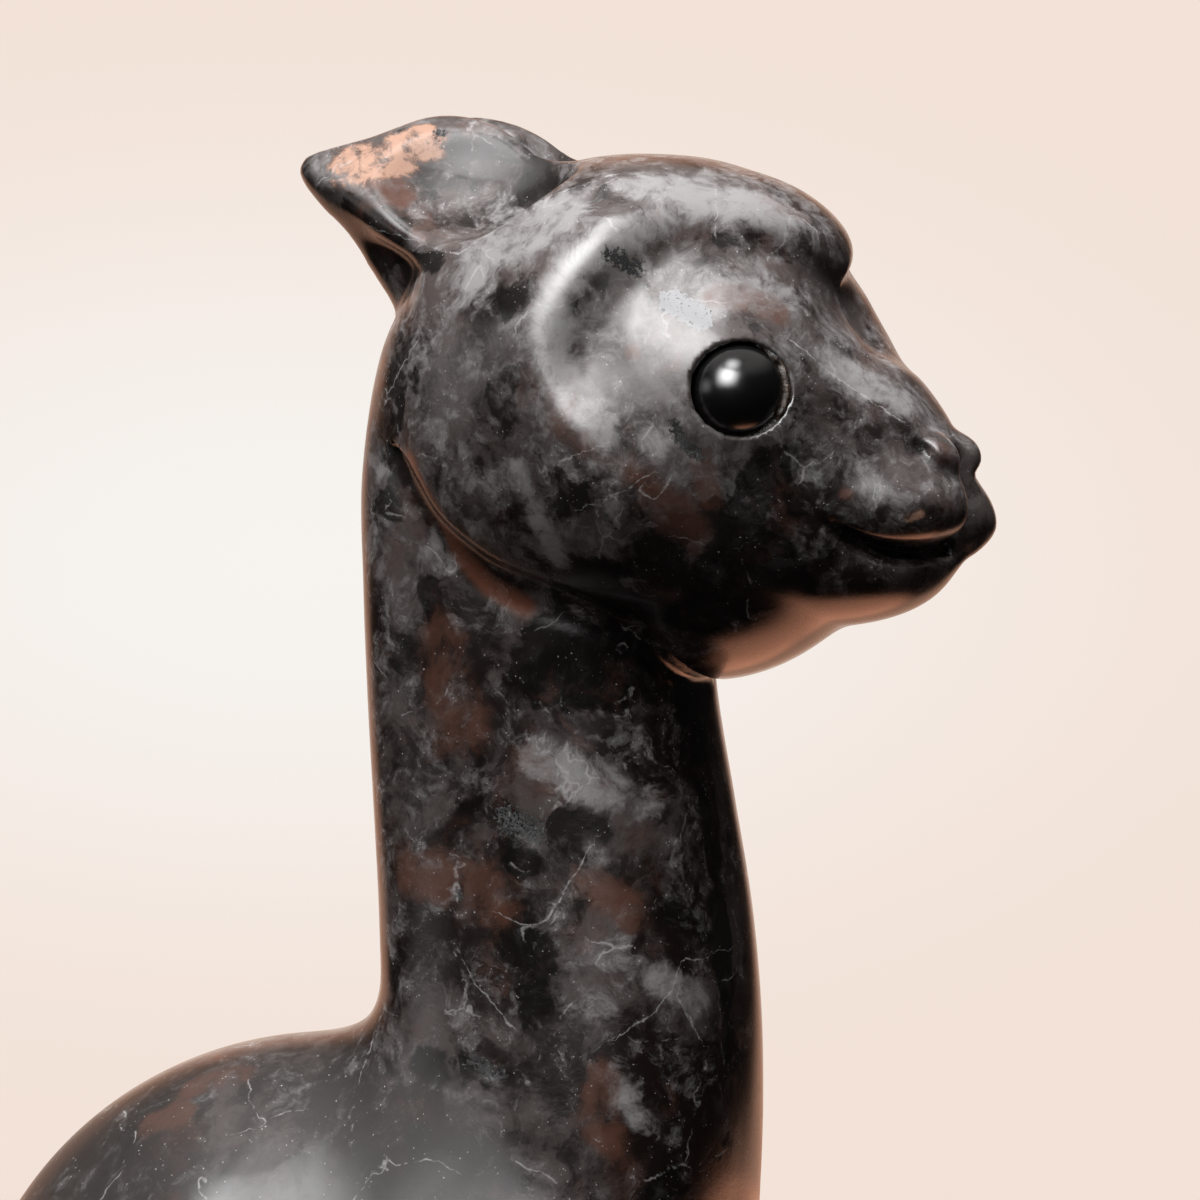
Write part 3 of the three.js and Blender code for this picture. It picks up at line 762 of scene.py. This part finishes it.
def mesh_object(name, vertices, faces):
    """A smooth mesh object from vertices in millimetres."""
    mesh = bpy.data.meshes.new(name)
    mesh.from_pydata((vertices * MM).tolist(), [], [list(map(int, face)) for face in faces])
    mesh.update()
    mesh.shade_smooth()
    made = bpy.data.objects.new(name, mesh)
    bpy.context.scene.collection.objects.link(made)
    return made


def set_attribute(obj, name, values):
    made = obj.data.attributes.new(name, "FLOAT", "POINT")
    made.data.foreach_set("value", np.asarray(values, np.float32))


# The stone's grid: finest round the eyes, fine on the rest of the head, and wider below.
COARSE = 1
FINE = 0.29 * COARSE
EYE_FINE = 0.2 * COARSE
WIDE = 0.5 * COARSE
X_LINES = grid_lines(-34.4, (-14, 0.6 * COARSE), (-11, 0.4 * COARSE), (9.8, FINE), (16.6, EYE_FINE),
                     (24, FINE))
Y_LINES = grid_lines(-14.2, (-11, WIDE), (-7.4, EYE_FINE), (7.4, FINE), (11, EYE_FINE), (14.2, WIDE))
Z_LINES = grid_lines(-0.9, (1.5, 0.24 * COARSE), (34, WIDE), (37, 0.35 * COARSE), (45, FINE),
                     (51.6, EYE_FINE), (63.4, FINE))
EVENING_ROUNDS = 2


def build_stone():
    vertices, faces = wrap(stone_shape, [X_LINES, Y_LINES, Z_LINES])
    vertices = onto_skin(stone_shape, vertices, FINE, rounds=2)
    for _ in range(EVENING_ROUNDS):
        vertices = onto_skin(stone_shape, even_out(vertices, faces), FINE, rounds=1)
    made = mesh_object("carved_stone", pitted(vertices.copy()), faces)
    for name, marks in PATCHES.items():
        set_attribute(made, name, patches(vertices, marks))
    side, strength = vein_sides(vertices)
    set_attribute(made, "vein_side", side)
    set_attribute(made, "vein", strength)
    return made


# Beads: domed balls with a stringing hole ground flat at the back, where the stone hides it.
BEAD_SEGMENTS = 96
BEAD_RINGS = 64
HOLE_RADIUS = 0.35
HOLE_DEPTH = 1.2
BACK_FLAT = -0.93
WELD_DISTANCE = 0.0001


def bead_profile():
    """Radius and height of a bead from the middle of its front to the bottom of its hole."""
    turns = np.linspace(0, math.pi, BEAD_RINGS)
    ball = [(BEAD_RADIUS * math.sin(t), BEAD_RADIUS * math.cos(t)) for t in turns]
    flat = BACK_FLAT * BEAD_RADIUS
    profile = [(r, max(h, flat)) for r, h in ball if h > 0 or r > HOLE_RADIUS]
    bottom = HOLE_DEPTH - BEAD_RADIUS
    return profile + [(HOLE_RADIUS, flat), (HOLE_RADIUS, bottom), (0.0, bottom)]


def spin(profile, centre, axis, segments):
    """A mesh turned from a profile of (radius, height) round an axis."""
    axis = unit(axis)
    first = unit(np.cross(axis, (1, 0, 0)))
    second = np.cross(axis, first)
    turns = np.linspace(0, 2 * math.pi, segments, endpoint=False)
    rings = [centre + height * axis + radius * (math.cos(t) * first + math.sin(t) * second)
             for radius, height in profile for t in turns]
    faces = []
    for ring in range(len(profile) - 1):
        for n in range(segments):
            m = (n + 1) % segments
            faces.append((ring * segments + m, ring * segments + n,
                          (ring + 1) * segments + n, (ring + 1) * segments + m))
    return np.array(rings), faces


def weld(obj):
    """Joins the vertices of a mesh that lie in one place."""
    made = bmesh.new()
    made.from_mesh(obj.data)
    bmesh.ops.remove_doubles(made, verts=made.verts, dist=WELD_DISTANCE * MM)
    made.to_mesh(obj.data)
    made.free()


def build_bead(name, centre, axis):
    vertices, faces = spin(bead_profile(), centre, axis, BEAD_SEGMENTS)
    made = mesh_object(name, vertices, faces)
    weld(made)
    return made


# Glue: an uneven ring between a bead and its socket. Heights are along the bead's axis from its
# middle. The ring is highest towards the nose, and sunk between its edges.
GLUE_STEPS = 120
GLUE_BOTTOM = -0.5
GLUE_LOW = 0.35
GLUE_HIGH = 0.85
GLUE_DIP = 0.1
GLUE_LIP = 0.02
GLUE_OVERLAP = 0.04
GLUE_LUMPS = 3
GLUE_OTHER_SIDE = 5


def glue_rise(forward, up, side):
    """The height of the glue at one place round the bead."""
    lumps = noise.noise(Vector((GLUE_LUMPS * forward, GLUE_LUMPS * up, GLUE_OTHER_SIDE * side)))
    return GLUE_LOW + (GLUE_HIGH - GLUE_LOW) * float(ease(0.3 + 0.7 * forward + 0.5 * lumps))


def build_glue(name, centre, side):
    """A ring of old glue round the bead of the right side, -1, or of the left side, 1."""
    axes = [mirrored(axis) if side > 0 else axis for axis in EYE_AXES]
    rings = []
    for turn in np.linspace(0, 2 * math.pi, GLUE_STEPS, endpoint=False):
        forward, up = math.cos(turn), math.sin(turn)
        rise = glue_rise(forward, up, side)
        section = [(GLUE_BOTTOM, 0), (rise, 0), (rise - GLUE_DIP, 0.5), (rise + GLUE_LIP, 1),
                   (GLUE_BOTTOM, 1)]
        for height, share in section:
            bead = math.sqrt(BEAD_RADIUS ** 2 - height ** 2) - GLUE_OVERLAP
            level = math.sqrt(1 - (height / SOCKET_HEIGHT) ** 2)
            wall = level / math.hypot(forward / SOCKET_LENGTH, up / SOCKET_HEIGHT) + GLUE_OVERLAP
            reach = bead + share * (wall - bead)
            rings.append(centre + reach * (forward * axes[0] + up * axes[1]) + height * axes[2])
    corners = len(section)
    faces = []
    for n in range(GLUE_STEPS):
        here, ahead = n * corners, (n + 1) % GLUE_STEPS * corners
        for k in range(corners):
            m = (k + 1) % corners
            face = (here + k, here + m, ahead + m, ahead + k)
            faces.append(face if side < 0 else face[::-1])
    return mesh_object(name, np.array(rings), faces)


# Materials, as lists of steps. The scale of a pattern is how many of its features a millimetre holds.

class Steps:
    """Adds nodes to one material and links them. An input is a number, a colour or an output."""

    def __init__(self, name):
        self.material = bpy.data.materials.new(name)
        self.material.use_nodes = True
        self.tree = self.material.node_tree
        self.tree.nodes.clear()

    def add(self, kind, inputs, **settings):
        made = self.tree.nodes.new(kind)
        for setting, value in settings.items():
            setattr(made, setting, value)
        for place, value in inputs.items():
            if isinstance(value, bpy.types.NodeSocket):
                self.tree.links.new(value, made.inputs[place])
            else:
                made.inputs[place].default_value = value
        return made

    def math(self, kind, a, b=0.0, clamp=False):
        return self.add("ShaderNodeMath", {0: a, 1: b}, operation=kind, use_clamp=clamp).outputs[0]

    def plus(self, a, b):
        return self.math("ADD", a, b)

    def minus(self, a, b, clamp=False):
        return self.math("SUBTRACT", a, b, clamp)

    def times(self, a, b):
        return self.math("MULTIPLY", a, b)

    def larger(self, a, b):
        return self.math("MAXIMUM", a, b)

    def with_shares(self, value, *shares):
        """A value with shares of others added, each a pair of the other and its factor."""
        for other, factor in shares:
            value = self.plus(value, self.times(other, factor))
        return value

    def vector(self, kind, a, b=(0, 0, 0), output=0):
        return self.add("ShaderNodeVectorMath", {0: a, 1: b}, operation=kind).outputs[output]

    def distance(self, a, b=(0, 0, 0)):
        return self.vector("DISTANCE", a, b, "Value")

    def dot(self, a, b):
        return self.vector("DOT_PRODUCT", a, b, "Value")

    def scaled(self, a, factor):
        inputs = {0: a, "Scale": factor}
        return self.add("ShaderNodeVectorMath", inputs, operation="SCALE").outputs[0]

    def parts(self, place):
        return self.add("ShaderNodeSeparateXYZ", {0: place}).outputs

    def millimetres(self):
        """The place on a piece, in millimetres."""
        return self.scaled(self.add("ShaderNodeTexCoord", {}).outputs["Object"], 1 / MM)

    def ramp(self, value, low, high, start=0.0, end=1.0):
        """Goes smoothly from start to end as the value goes from low to high."""
        inputs = {0: value, 1: low, 2: high, 3: start, 4: end}
        return self.add("ShaderNodeMapRange", inputs, interpolation_type="SMOOTHSTEP").outputs[0]

    def noise(self, place, scale, detail=3.0, roughness=0.5, distortion=0.0, output=0):
        inputs = {"Vector": place, "Scale": scale, "Detail": detail, "Roughness": roughness,
                  "Distortion": distortion}
        return self.add("ShaderNodeTexNoise", inputs).outputs[output]

    def cells(self, place, scale, feature="F1", output="Distance"):
        inputs = {"Vector": place, "Scale": scale}
        return self.add("ShaderNodeTexVoronoi", inputs, feature=feature).outputs[output]

    def mix(self, factor, a, b):
        inputs = {0: factor, 6: a, 7: b}
        return self.add("ShaderNodeMix", inputs, data_type="RGBA").outputs[2]

    def attribute(self, name):
        return self.add("ShaderNodeAttribute", {}, attribute_name=name).outputs["Fac"]

    def bump(self, height, strength, distance):
        inputs = {"Strength": strength, "Distance": distance * MM, "Height": height}
        return self.add("ShaderNodeBump", inputs).outputs[0]

    def surface(self, inputs):
        """Ends the material with a surface of these properties."""
        return self.finish(self.add("ShaderNodeBsdfPrincipled", inputs).outputs[0])

    def light(self, inputs):
        """Ends the material with light of this colour and strength."""
        return self.finish(self.add("ShaderNodeEmission", inputs).outputs[0])

    def finish(self, shader):
        self.add("ShaderNodeOutputMaterial", {"Surface": shader})
        return self.material


def colour(red, green, blue):
    return (red, green, blue, 1.0)


# Colours of the stone, and of the shade and reflections painted on it.
NEAR_BLACK = colour(0.0090, 0.0058, 0.0048)
CHARCOAL = colour(0.066, 0.054, 0.051)
SMOKE_GREY = colour(0.26, 0.25, 0.25)
# Black of the stone, also used for painted shade.
DEEP_BLACK_AND_SHADE = colour(0.005, 0.0045, 0.004)
REDDISH_BROWN = colour(0.095, 0.042, 0.029)
PEACH_EDGE = colour(0.12, 0.055, 0.035)
PEACH = colour(0.40, 0.235, 0.165)
# Painted reflection of the copper backdrop.
COPPER_REFLECTION = colour(0.16, 0.062, 0.037)
# Painted shade on the dull places low on the back.
SHOULDER_SHADE = colour(0.02, 0.018, 0.017)
WORN_GREY = colour(0.27, 0.27, 0.28)
GRAIN_BLACK = colour(0.01, 0.009, 0.009)
CRACK_GREY = colour(0.42, 0.40, 0.40)
VEIN_GREY = colour(0.50, 0.49, 0.49)
SPECK_GREY = colour(0.50, 0.48, 0.47)
# Black grain in the pits, with painted shade in their hollows.
PIT_BLACK_AND_SHADE = colour(0.006, 0.006, 0.006)
CRUMB_GREY = colour(0.18, 0.17, 0.165)

# Heights between which the stone and the sheen and shade painted on it change, how strongly some
# colours cover what is under them, and how much rougher pits and dull places are.
FOOT = (4, 16)
SHOULDER = (30, 34)
THROAT_TO_HEAD = (34, 45)
NECK_TO_HEAD = (30, 46)
BLACK_AND_SHADE_STRENGTH = 0.85
COPPER_REFLECTION_STRENGTH = 0.9
WORN_STRENGTH = 0.85
WORN_DULLNESS = 0.6
CRACK_STRENGTH = 0.5
SPECK_STRENGTH = 0.65
PIT_ROUGHNESS = 0.35
DULL_ROUGHNESS = 0.42


class StoneSteps(Steps):
    """Steps for the stone, with the patterns that several of its layers share."""

    def __init__(self, name):
        super().__init__(name)
        self.place = self.millimetres()
        self.height = self.parts(self.place)[2]
        drift = self.noise(self.place, 0.35, 4, output="Color")
        drift = self.scaled(self.vector("SUBTRACT", drift, (0.5, 0.5, 0.5)), 3.0)
        self.bent = self.vector("ADD", self.place, drift)
        self.smoke = self.noise(self.bent, 0.40, 9, 0.72)
        self.fine = self.noise(self.bent, 1.0, 8, 0.72)
        self.grain = self.noise(self.place, 4.0, 5, 0.65)
        self.crumbs = self.noise(self.place, 5.0, 4, 0.7)
        # Pale stone, with the painted highlight along the ridge behind the eye.
        self.pale = self.attribute("pale")


def black_clouds_and_shade(s):
    """How black the stone and the painted shade on it are, from 0 to 1, except where it is pale."""
    # The black strokes carry painted shade and a painted dark reflection as well as black stone.
    clouds = s.with_shares(s.noise(s.bent, 0.21, 6, 0.6), (s.attribute("black"), 0.16))
    return s.minus(s.ramp(clouds, 0.54, 0.62), s.pale, clamp=True)


def pits(s):
    """How far a place is in a pit, from 0 to 1. Crumbs break the pits up."""
    near = s.attribute("pit")
    pit = s.ramp(s.with_shares(near, (s.crumbs, 5.0)), 3.0, 3.3)
    return s.times(pit, s.ramp(near, 0.0, 0.3))


def ground(s, black):
    """Charcoal that goes from black to grey in smooth fields, broken into crystals, with paler smoke
    over it and black clouds, which carry painted shade. The head is paler than the neck, a painted
    sheen, and the foot darker."""
    # Painted sheen: the head is made paler than the neck.
    head_sheen = s.ramp(s.height, *THROAT_TO_HEAD)
    fine = s.minus(s.fine, 0.5)
    tone = s.noise(s.place, 0.13, 9, 0.66, 0.4)
    tone = s.with_shares(tone, (s.pale, 0.10), (head_sheen, 0.08), (fine, 0.40))
    tone = s.plus(tone, s.ramp(s.height, *FOOT, -0.06, 0.0))
    crystals = s.parts(s.cells(s.bent, 0.55, output="Color"))[0]
    tone = s.plus(tone, s.ramp(crystals, 0.1, 0.9, -0.03, 0.03))
    base = s.mix(s.ramp(tone, 0.42, 0.64), NEAR_BLACK, CHARCOAL)
    haze = s.plus(s.smoke, s.ramp(s.height, *FOOT, -0.05, 0.0))
    haze = s.with_shares(haze, (s.pale, 0.19), (head_sheen, 0.07), (fine, 0.7))
    base = s.mix(s.ramp(haze, 0.50, 0.86, 0.0, 0.9), base, SMOKE_GREY)
    # Black clouds, with painted shade and a painted dark reflection from the black strokes.
    return s.mix(s.times(black, BLACK_AND_SHADE_STRENGTH), base, DEEP_BLACK_AND_SHADE)


def warm_patches(s, base):
    """Translucent reddish brown, peach with a brown edge, and copper as a painted reflection."""
    brown = s.with_shares(s.noise(s.bent, 0.24, 8, 0.68), (s.attribute("brown"), 0.2))
    base = s.mix(s.ramp(brown, 0.54, 0.78, 0.0, 0.75), base, REDDISH_BROWN)
    peach = s.with_shares(s.attribute("peach"), (s.noise(s.bent, 1.1, 7, 0.65), 2.4))
    base = s.mix(s.ramp(peach, 1.65, 2.1, 0.0, 0.5), base, PEACH_EDGE)
    base = s.mix(s.ramp(peach, 1.85, 2.3, 0.0, 0.85), base, PEACH)
    # The painted copper reflection in the cove.
    return s.mix(s.times(s.attribute("copper"), COPPER_REFLECTION_STRENGTH), base, COPPER_REFLECTION)


def dull_patches(s, base):
    """The colour with a shoulder darkened as painted shade, the pale worn patch with black grains,
    and how dull each place is."""
    dull = s.attribute("dull")
    # Painted shade: the dull places low on the back are darkened.
    base = s.mix(s.times(dull, s.ramp(s.height, *SHOULDER, 0.5, 0.0)), base, SHOULDER_SHADE)
    worn = s.with_shares(s.attribute("worn"), (s.minus(s.grain, 0.5), 2.0))
    worn = s.ramp(worn, 0.5, 0.7)
    base = s.mix(s.times(worn, WORN_STRENGTH), base, WORN_GREY)
    grains = s.ramp(s.noise(s.place, 6.0, 3, 0.6), 0.60, 0.65)
    base = s.mix(s.times(grains, worn), base, GRAIN_BLACK)
    return base, s.larger(dull, s.times(worn, WORN_DULLNESS))


def cracks_and_veins(s, base):
    """Hairline cracks, brighter here and there, and the drawn veins, which wander and swell."""
    cracks = s.ramp(s.cells(s.bent, 0.13, "DISTANCE_TO_EDGE"), 0.0, 0.010, 1.0, 0.0)
    cracks = s.times(cracks, s.ramp(s.smoke, 0.50, 0.60))
    base = s.mix(s.times(cracks, CRACK_STRENGTH), base, CRACK_GREY)
    wander = s.minus(s.noise(s.place, 1.2, 4, 0.6), 0.5)
    side = s.math("ABSOLUTE", s.with_shares(s.attribute("vein_side"), (wander, 0.5)))
    breadth = s.ramp(s.fine, 0.35, 0.68, 0.01, 0.13)
    vein = s.minus(1.0, s.math("DIVIDE", side, breadth), clamp=True)
    vein = s.times(vein, s.attribute("vein"))
    return s.mix(s.times(vein, s.ramp(s.grain, 0.35, 0.6, 0.1, 0.6)), base, VEIN_GREY)


def specks(s, base):
    """Pale specks, with finer dust between them."""
    speck = s.times(s.ramp(s.cells(s.place, 1.5), 0.04, 0.09, 1.0, 0.0), s.ramp(s.grain, 0.48, 0.56))
    dust = s.times(s.ramp(s.cells(s.place, 3.2), 0.08, 0.16, 1.0, 0.0), s.ramp(s.fine, 0.50, 0.60))
    return s.mix(s.times(s.larger(speck, dust), SPECK_STRENGTH), base, SPECK_GREY)


def pit_colour(s, base, pit):
    """Black pits, their black grain deepened with painted shade, with paler crumbs in them."""
    return s.mix(pit, base, s.mix(s.ramp(s.crumbs, 0.62, 0.70), PIT_BLACK_AND_SHADE, CRUMB_GREY))


def stone_relief(s, pit):
    sunk = s.times(pit, s.minus(s.crumbs, 2.0))
    return s.bump(s.with_shares(sunk, (s.grain, 0.1)), 0.8, 0.1)


def stone_roughness(s, black, pit, dull):
    """The neck and the black clouds are glossier than the head, and pits and dull places rougher."""
    rough = s.times(s.ramp(s.smoke, 0.35, 0.7, 0.26, 0.42), s.ramp(s.height, *NECK_TO_HEAD, 0.6, 1.0))
    rough = s.times(rough, s.ramp(black, 0.0, 1.0, 1.0, 0.6))
    return s.with_shares(rough, (pit, PIT_ROUGHNESS), (dull, DULL_ROUGHNESS))


def stone_material():
    s = StoneSteps("polished_stone")
    black, pit = black_clouds_and_shade(s), pits(s)
    base, dull = dull_patches(s, warm_patches(s, ground(s, black)))
    return s.surface({
        "Base Color": pit_colour(s, specks(s, cracks_and_veins(s, base)), pit),
        "Roughness": stone_roughness(s, black, pit, dull),
        "Normal": stone_relief(s, pit),
        "IOR": 1.54,
        "Coat Weight": 0.35,
        "Coat Roughness": 0.1,
    })


def bead_material():
    s = Steps("black_glass")
    haze = s.noise(s.millimetres(), 3.0, 4)
    return s.surface({
        "Base Color": colour(0.004, 0.004, 0.004),
        "Roughness": s.ramp(haze, 0.3, 0.8, 0.14, 0.22),
        "IOR": 1.55,
        "Coat Weight": 1.0,
        "Coat Roughness": 0.22,
    })


def glue_material():
    s = Steps("old_glue")
    grains = s.noise(s.millimetres(), 3.5, 5, 0.65)
    clear, brownish = colour(0.012, 0.008, 0.006), colour(0.10, 0.065, 0.045)
    return s.surface({
        "Base Color": s.mix(s.ramp(grains, 0.4, 0.65), clear, brownish),
        "Roughness": s.ramp(grains, 0.3, 0.7, 0.12, 0.3),
        "Normal": s.bump(grains, 0.7, 0.08),
        "IOR": 1.5,
    })


# Stage: a pale floor that runs up into a dome, wider than any view needs.
FLOOR_REACH = 1300.0
FLOOR_RINGS = (0.0, 0.03, 0.06, 0.1, 0.2, 0.4, 0.7, 1.0)
DOME_RADIUS = 1500.0
FILLET_RINGS = 12
DOME_RINGS = 20
STAGE_SEGMENTS = 96

# Backdrop as the camera sees it: nearly white round one place in the photograph, and warmer away
# from it, most of all above and below.
GLOW_PIXEL = (300, 560)
GLOW_WHITE = colour(0.925, 0.90, 0.865)
WARM_WHITE = colour(0.888, 0.76, 0.685)

# Shade on the floor round the underside: fullest over a line under the figure, and fading out.
SHADE_BROWN = colour(0.36, 0.27, 0.225)
SHADE_MIDDLE = -12.5
SHADE_HALF_LENGTH = 10.0
SHADE_CORE = 4.0
SHADE_REACH = 36.0

# What polished surfaces mirror: the dark in front, copper and then peach straight behind the figure
# and below it, a dim ceiling, and a pool of copper light on the floor under the chin.
STAGE_MIDDLE = (0.0, 0.0, 35.0)
FRONT_BLACK = colour(0.010, 0.009, 0.009)
REAR_COPPER = colour(0.75, 0.40, 0.27)
REAR_PEACH = colour(0.88, 0.66, 0.54)
CEILING_GREY = colour(0.40, 0.38, 0.37)
POOL_COPPER = colour(2.0, 0.86, 0.52)
POOL_PLACE = 15 * PHOTO_RIGHT - 14 * TO_CAMERA * (1, 1, 0)
POOL_RADIUS = 31.0
FILL_BROWN = colour(0.06, 0.052, 0.048)


def stage_profile():
    rim = [(FLOOR_REACH * t, 0.0) for t in FLOOR_RINGS]
    turns = np.linspace(-math.pi / 2, 0, FILLET_RINGS)[1:]
    fillet = DOME_RADIUS - FLOOR_REACH
    curve = [(FLOOR_REACH + fillet * math.cos(t), fillet + fillet * math.sin(t)) for t in turns]
    turns = np.linspace(0, math.pi / 2, DOME_RINGS)[1:]
    dome = [(DOME_RADIUS * math.cos(t), fillet + DOME_RADIUS * math.sin(t)) for t in turns]
    return rim + curve + dome


def backdrop_tone(s, place):
    glow_across = (GLOW_PIXEL[0] - PHOTO_WIDTH / 2) / PIXELS_PER_MM / CAMERA_DISTANCE
    glow_up = (PHOTO_WIDTH / 2 - GLOW_PIXEL[1]) / PIXELS_PER_MM / CAMERA_DISTANCE
    ray = s.vector("NORMALIZE", s.vector("SUBTRACT", place, tuple(CAMERA_PLACE)))
    across = s.times(s.minus(s.dot(ray, tuple(PHOTO_RIGHT)), glow_across), 0.5)
    upwards = s.minus(s.dot(ray, tuple(PHOTO_UP)), glow_up)
    away = s.math("SQRT", s.plus(s.times(across, across), s.times(upwards, upwards)))
    return s.mix(s.ramp(away, 0.0, 0.085), GLOW_WHITE, WARM_WHITE)


def contact_shade(s, place):
    """How dark the floor is round the underside, from 0 to 1."""
    parts = s.parts(place)
    along = s.math("ABSOLUTE", s.minus(parts[0], SHADE_MIDDLE))
    beyond = s.larger(s.minus(along, SHADE_HALF_LENGTH), 0.0)
    reach = s.add("ShaderNodeCombineXYZ", {0: beyond, 1: parts[1]}).outputs[0]
    return s.ramp(s.distance(reach), SHADE_CORE, SHADE_REACH, 1.0, 0.0)


def mirrored_tone(s, place):
    way = s.vector("NORMALIZE", s.vector("SUBTRACT", place, STAGE_MIDDLE))
    behind = s.dot(way, tuple(-TO_CAMERA))
    height = s.dot(way, (0, 0, 1))
    beneath = s.larger(s.times(height, -1.0), 0.0)
    rightwards = s.larger(s.dot(way, tuple(PHOTO_RIGHT)), 0.0)
    lower = s.with_shares(behind, (beneath, 0.9), (rightwards, -0.3))
    tone = s.mix(s.ramp(lower, 0.66, 0.88), FRONT_BLACK, REAR_COPPER)
    tone = s.mix(s.ramp(behind, 0.88, 0.985), tone, REAR_PEACH)
    tone = s.mix(s.ramp(height, 0.45, 0.85), tone, CEILING_GREY)
    pool = s.ramp(s.distance(place, tuple(POOL_PLACE)), POOL_RADIUS / 2, POOL_RADIUS, 1.0, 0.0)
    return s.mix(pool, tone, POOL_COPPER)


def stage_material():
    s = Steps("studio")
    place = s.millimetres()
    rays = s.add("ShaderNodeLightPath", {}).outputs
    unseen = s.mix(rays["Is Glossy Ray"], FILL_BROWN, mirrored_tone(s, place))
    backdrop = s.mix(contact_shade(s, place), backdrop_tone(s, place), SHADE_BROWN)
    return s.light({"Color": s.mix(rays["Is Camera Ray"], unseen, backdrop), "Strength": 1.0})


def build_stage():
    vertices, faces = spin(stage_profile(), np.zeros(3), (0, 0, 1), STAGE_SEGMENTS)
    made = mesh_object("stage", vertices, faces)
    made.data.materials.append(stage_material())
    made.data.materials[0].cycles.emission_sampling = "NONE"
    made.visible_shadow = False


# Lights. A softbox shades the stone but isn't mirrored in it, and a card is only mirrored. Each is
# at an azimuth and elevation from the camera in degrees, to the right and up as the photograph sees
# it, then come distance, width, height, and watts or glow.
SOFTBOXES = {
    "overhead": (-40, 76, 600, 600, 600, 12.0),
    "front_fill": (-30, 40, 700, 400, 400, 1.4),
}
CARDS = {
    "key_card": (-28, 34, 600, 720, 740, 16.0),
    "top_card": (-22, 59, 600, 440, 440, 9.0),
    "side_card": (-80, 8, 600, 500, 400, 1.0),
}
CARD_CORNERS = [(-0.5, -0.5, 0), (0.5, -0.5, 0), (0.5, 0.5, 0), (-0.5, 0.5, 0)]


def aim(obj, place, target):
    obj.location = Vector(place) * MM
    obj.rotation_mode = "QUATERNION"
    obj.rotation_quaternion = (Vector(target) - Vector(place)).to_track_quat("-Z", "Y")


def from_photo(azimuth, elevation, distance):
    """A place at an angle from the camera, to the right and up as the photograph sees it."""
    a, e = math.radians(azimuth), math.radians(elevation)
    way = (math.sin(a) * math.cos(e) * PHOTO_RIGHT + math.cos(a) * math.cos(e) * TO_CAMERA
           + math.sin(e) * PHOTO_UP)
    return CAMERA_AIM + distance * way


def softbox(name, azimuth, elevation, distance, width, height, watts):
    light = bpy.data.lights.new(name, "AREA")
    light.shape = "RECTANGLE"
    light.size, light.size_y = width * MM, height * MM
    light.energy = watts
    made = bpy.data.objects.new(name, light)
    bpy.context.scene.collection.objects.link(made)
    aim(made, from_photo(azimuth, elevation, distance), CAMERA_AIM)
    made.visible_camera = False
    made.visible_glossy = False


def card_material(name, sides, strength):
    """Glows most in the middle, and fades to nothing at the edges."""
    s = Steps(name)
    parts = s.parts(s.millimetres())
    inside = [s.ramp(s.math("ABSOLUTE", parts[axis]), 0.0, side / 2, 1.0, 0.0)
              for axis, side in enumerate(sides)]
    return s.light({"Strength": s.times(s.times(*inside), strength)})


def card(name, azimuth, elevation, distance, width, height, strength):
    vertices = np.array(CARD_CORNERS) * (width, height, 0)
    made = mesh_object(name, vertices, [(0, 1, 2, 3)])
    aim(made, from_photo(azimuth, elevation, distance), CAMERA_AIM)
    made.data.materials.append(card_material(name, (width, height), strength))
    for rays in ("camera", "diffuse", "transmission", "shadow"):
        setattr(made, "visible_" + rays, False)


def build_camera():
    data = bpy.data.cameras.new("camera")
    data.sensor_width = SENSOR_WIDTH
    data.lens = SENSOR_WIDTH * CAMERA_DISTANCE * PIXELS_PER_MM / PHOTO_WIDTH
    data.clip_start, data.clip_end = 0.01, 10.0
    made = bpy.data.objects.new("camera", data)
    bpy.context.scene.collection.objects.link(made)
    aim(made, CAMERA_PLACE, CAMERA_AIM)
    bpy.context.scene.camera = made


def build_figure():
    stone = build_stone()
    stone.data.materials.append(stone_material())
    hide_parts("stone_figure")
    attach(stone, "root")
    glass = bead_material()
    dried = glue_material()
    for name, centre, side in [("eye_right", RIGHT_BEAD, -1), ("eye_left", LEFT_BEAD, 1)]:
        bead = build_bead("bead_" + name, centre, EYE_AXIS if side < 0 else mirrored(EYE_AXIS))
        bead.data.materials.append(glass)
        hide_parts(name)
        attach(bead, "root")
        glue = build_glue("glue_" + name, centre, side)
        glue.data.materials.append(dried)
        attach(glue, "root")


build_figure()
build_camera()
build_stage()
for name, setting in SOFTBOXES.items():
    softbox(name, *setting)
for name, setting in CARDS.items():
    card(name, *setting)
bpy.context.scene.view_settings.view_transform = "Standard"
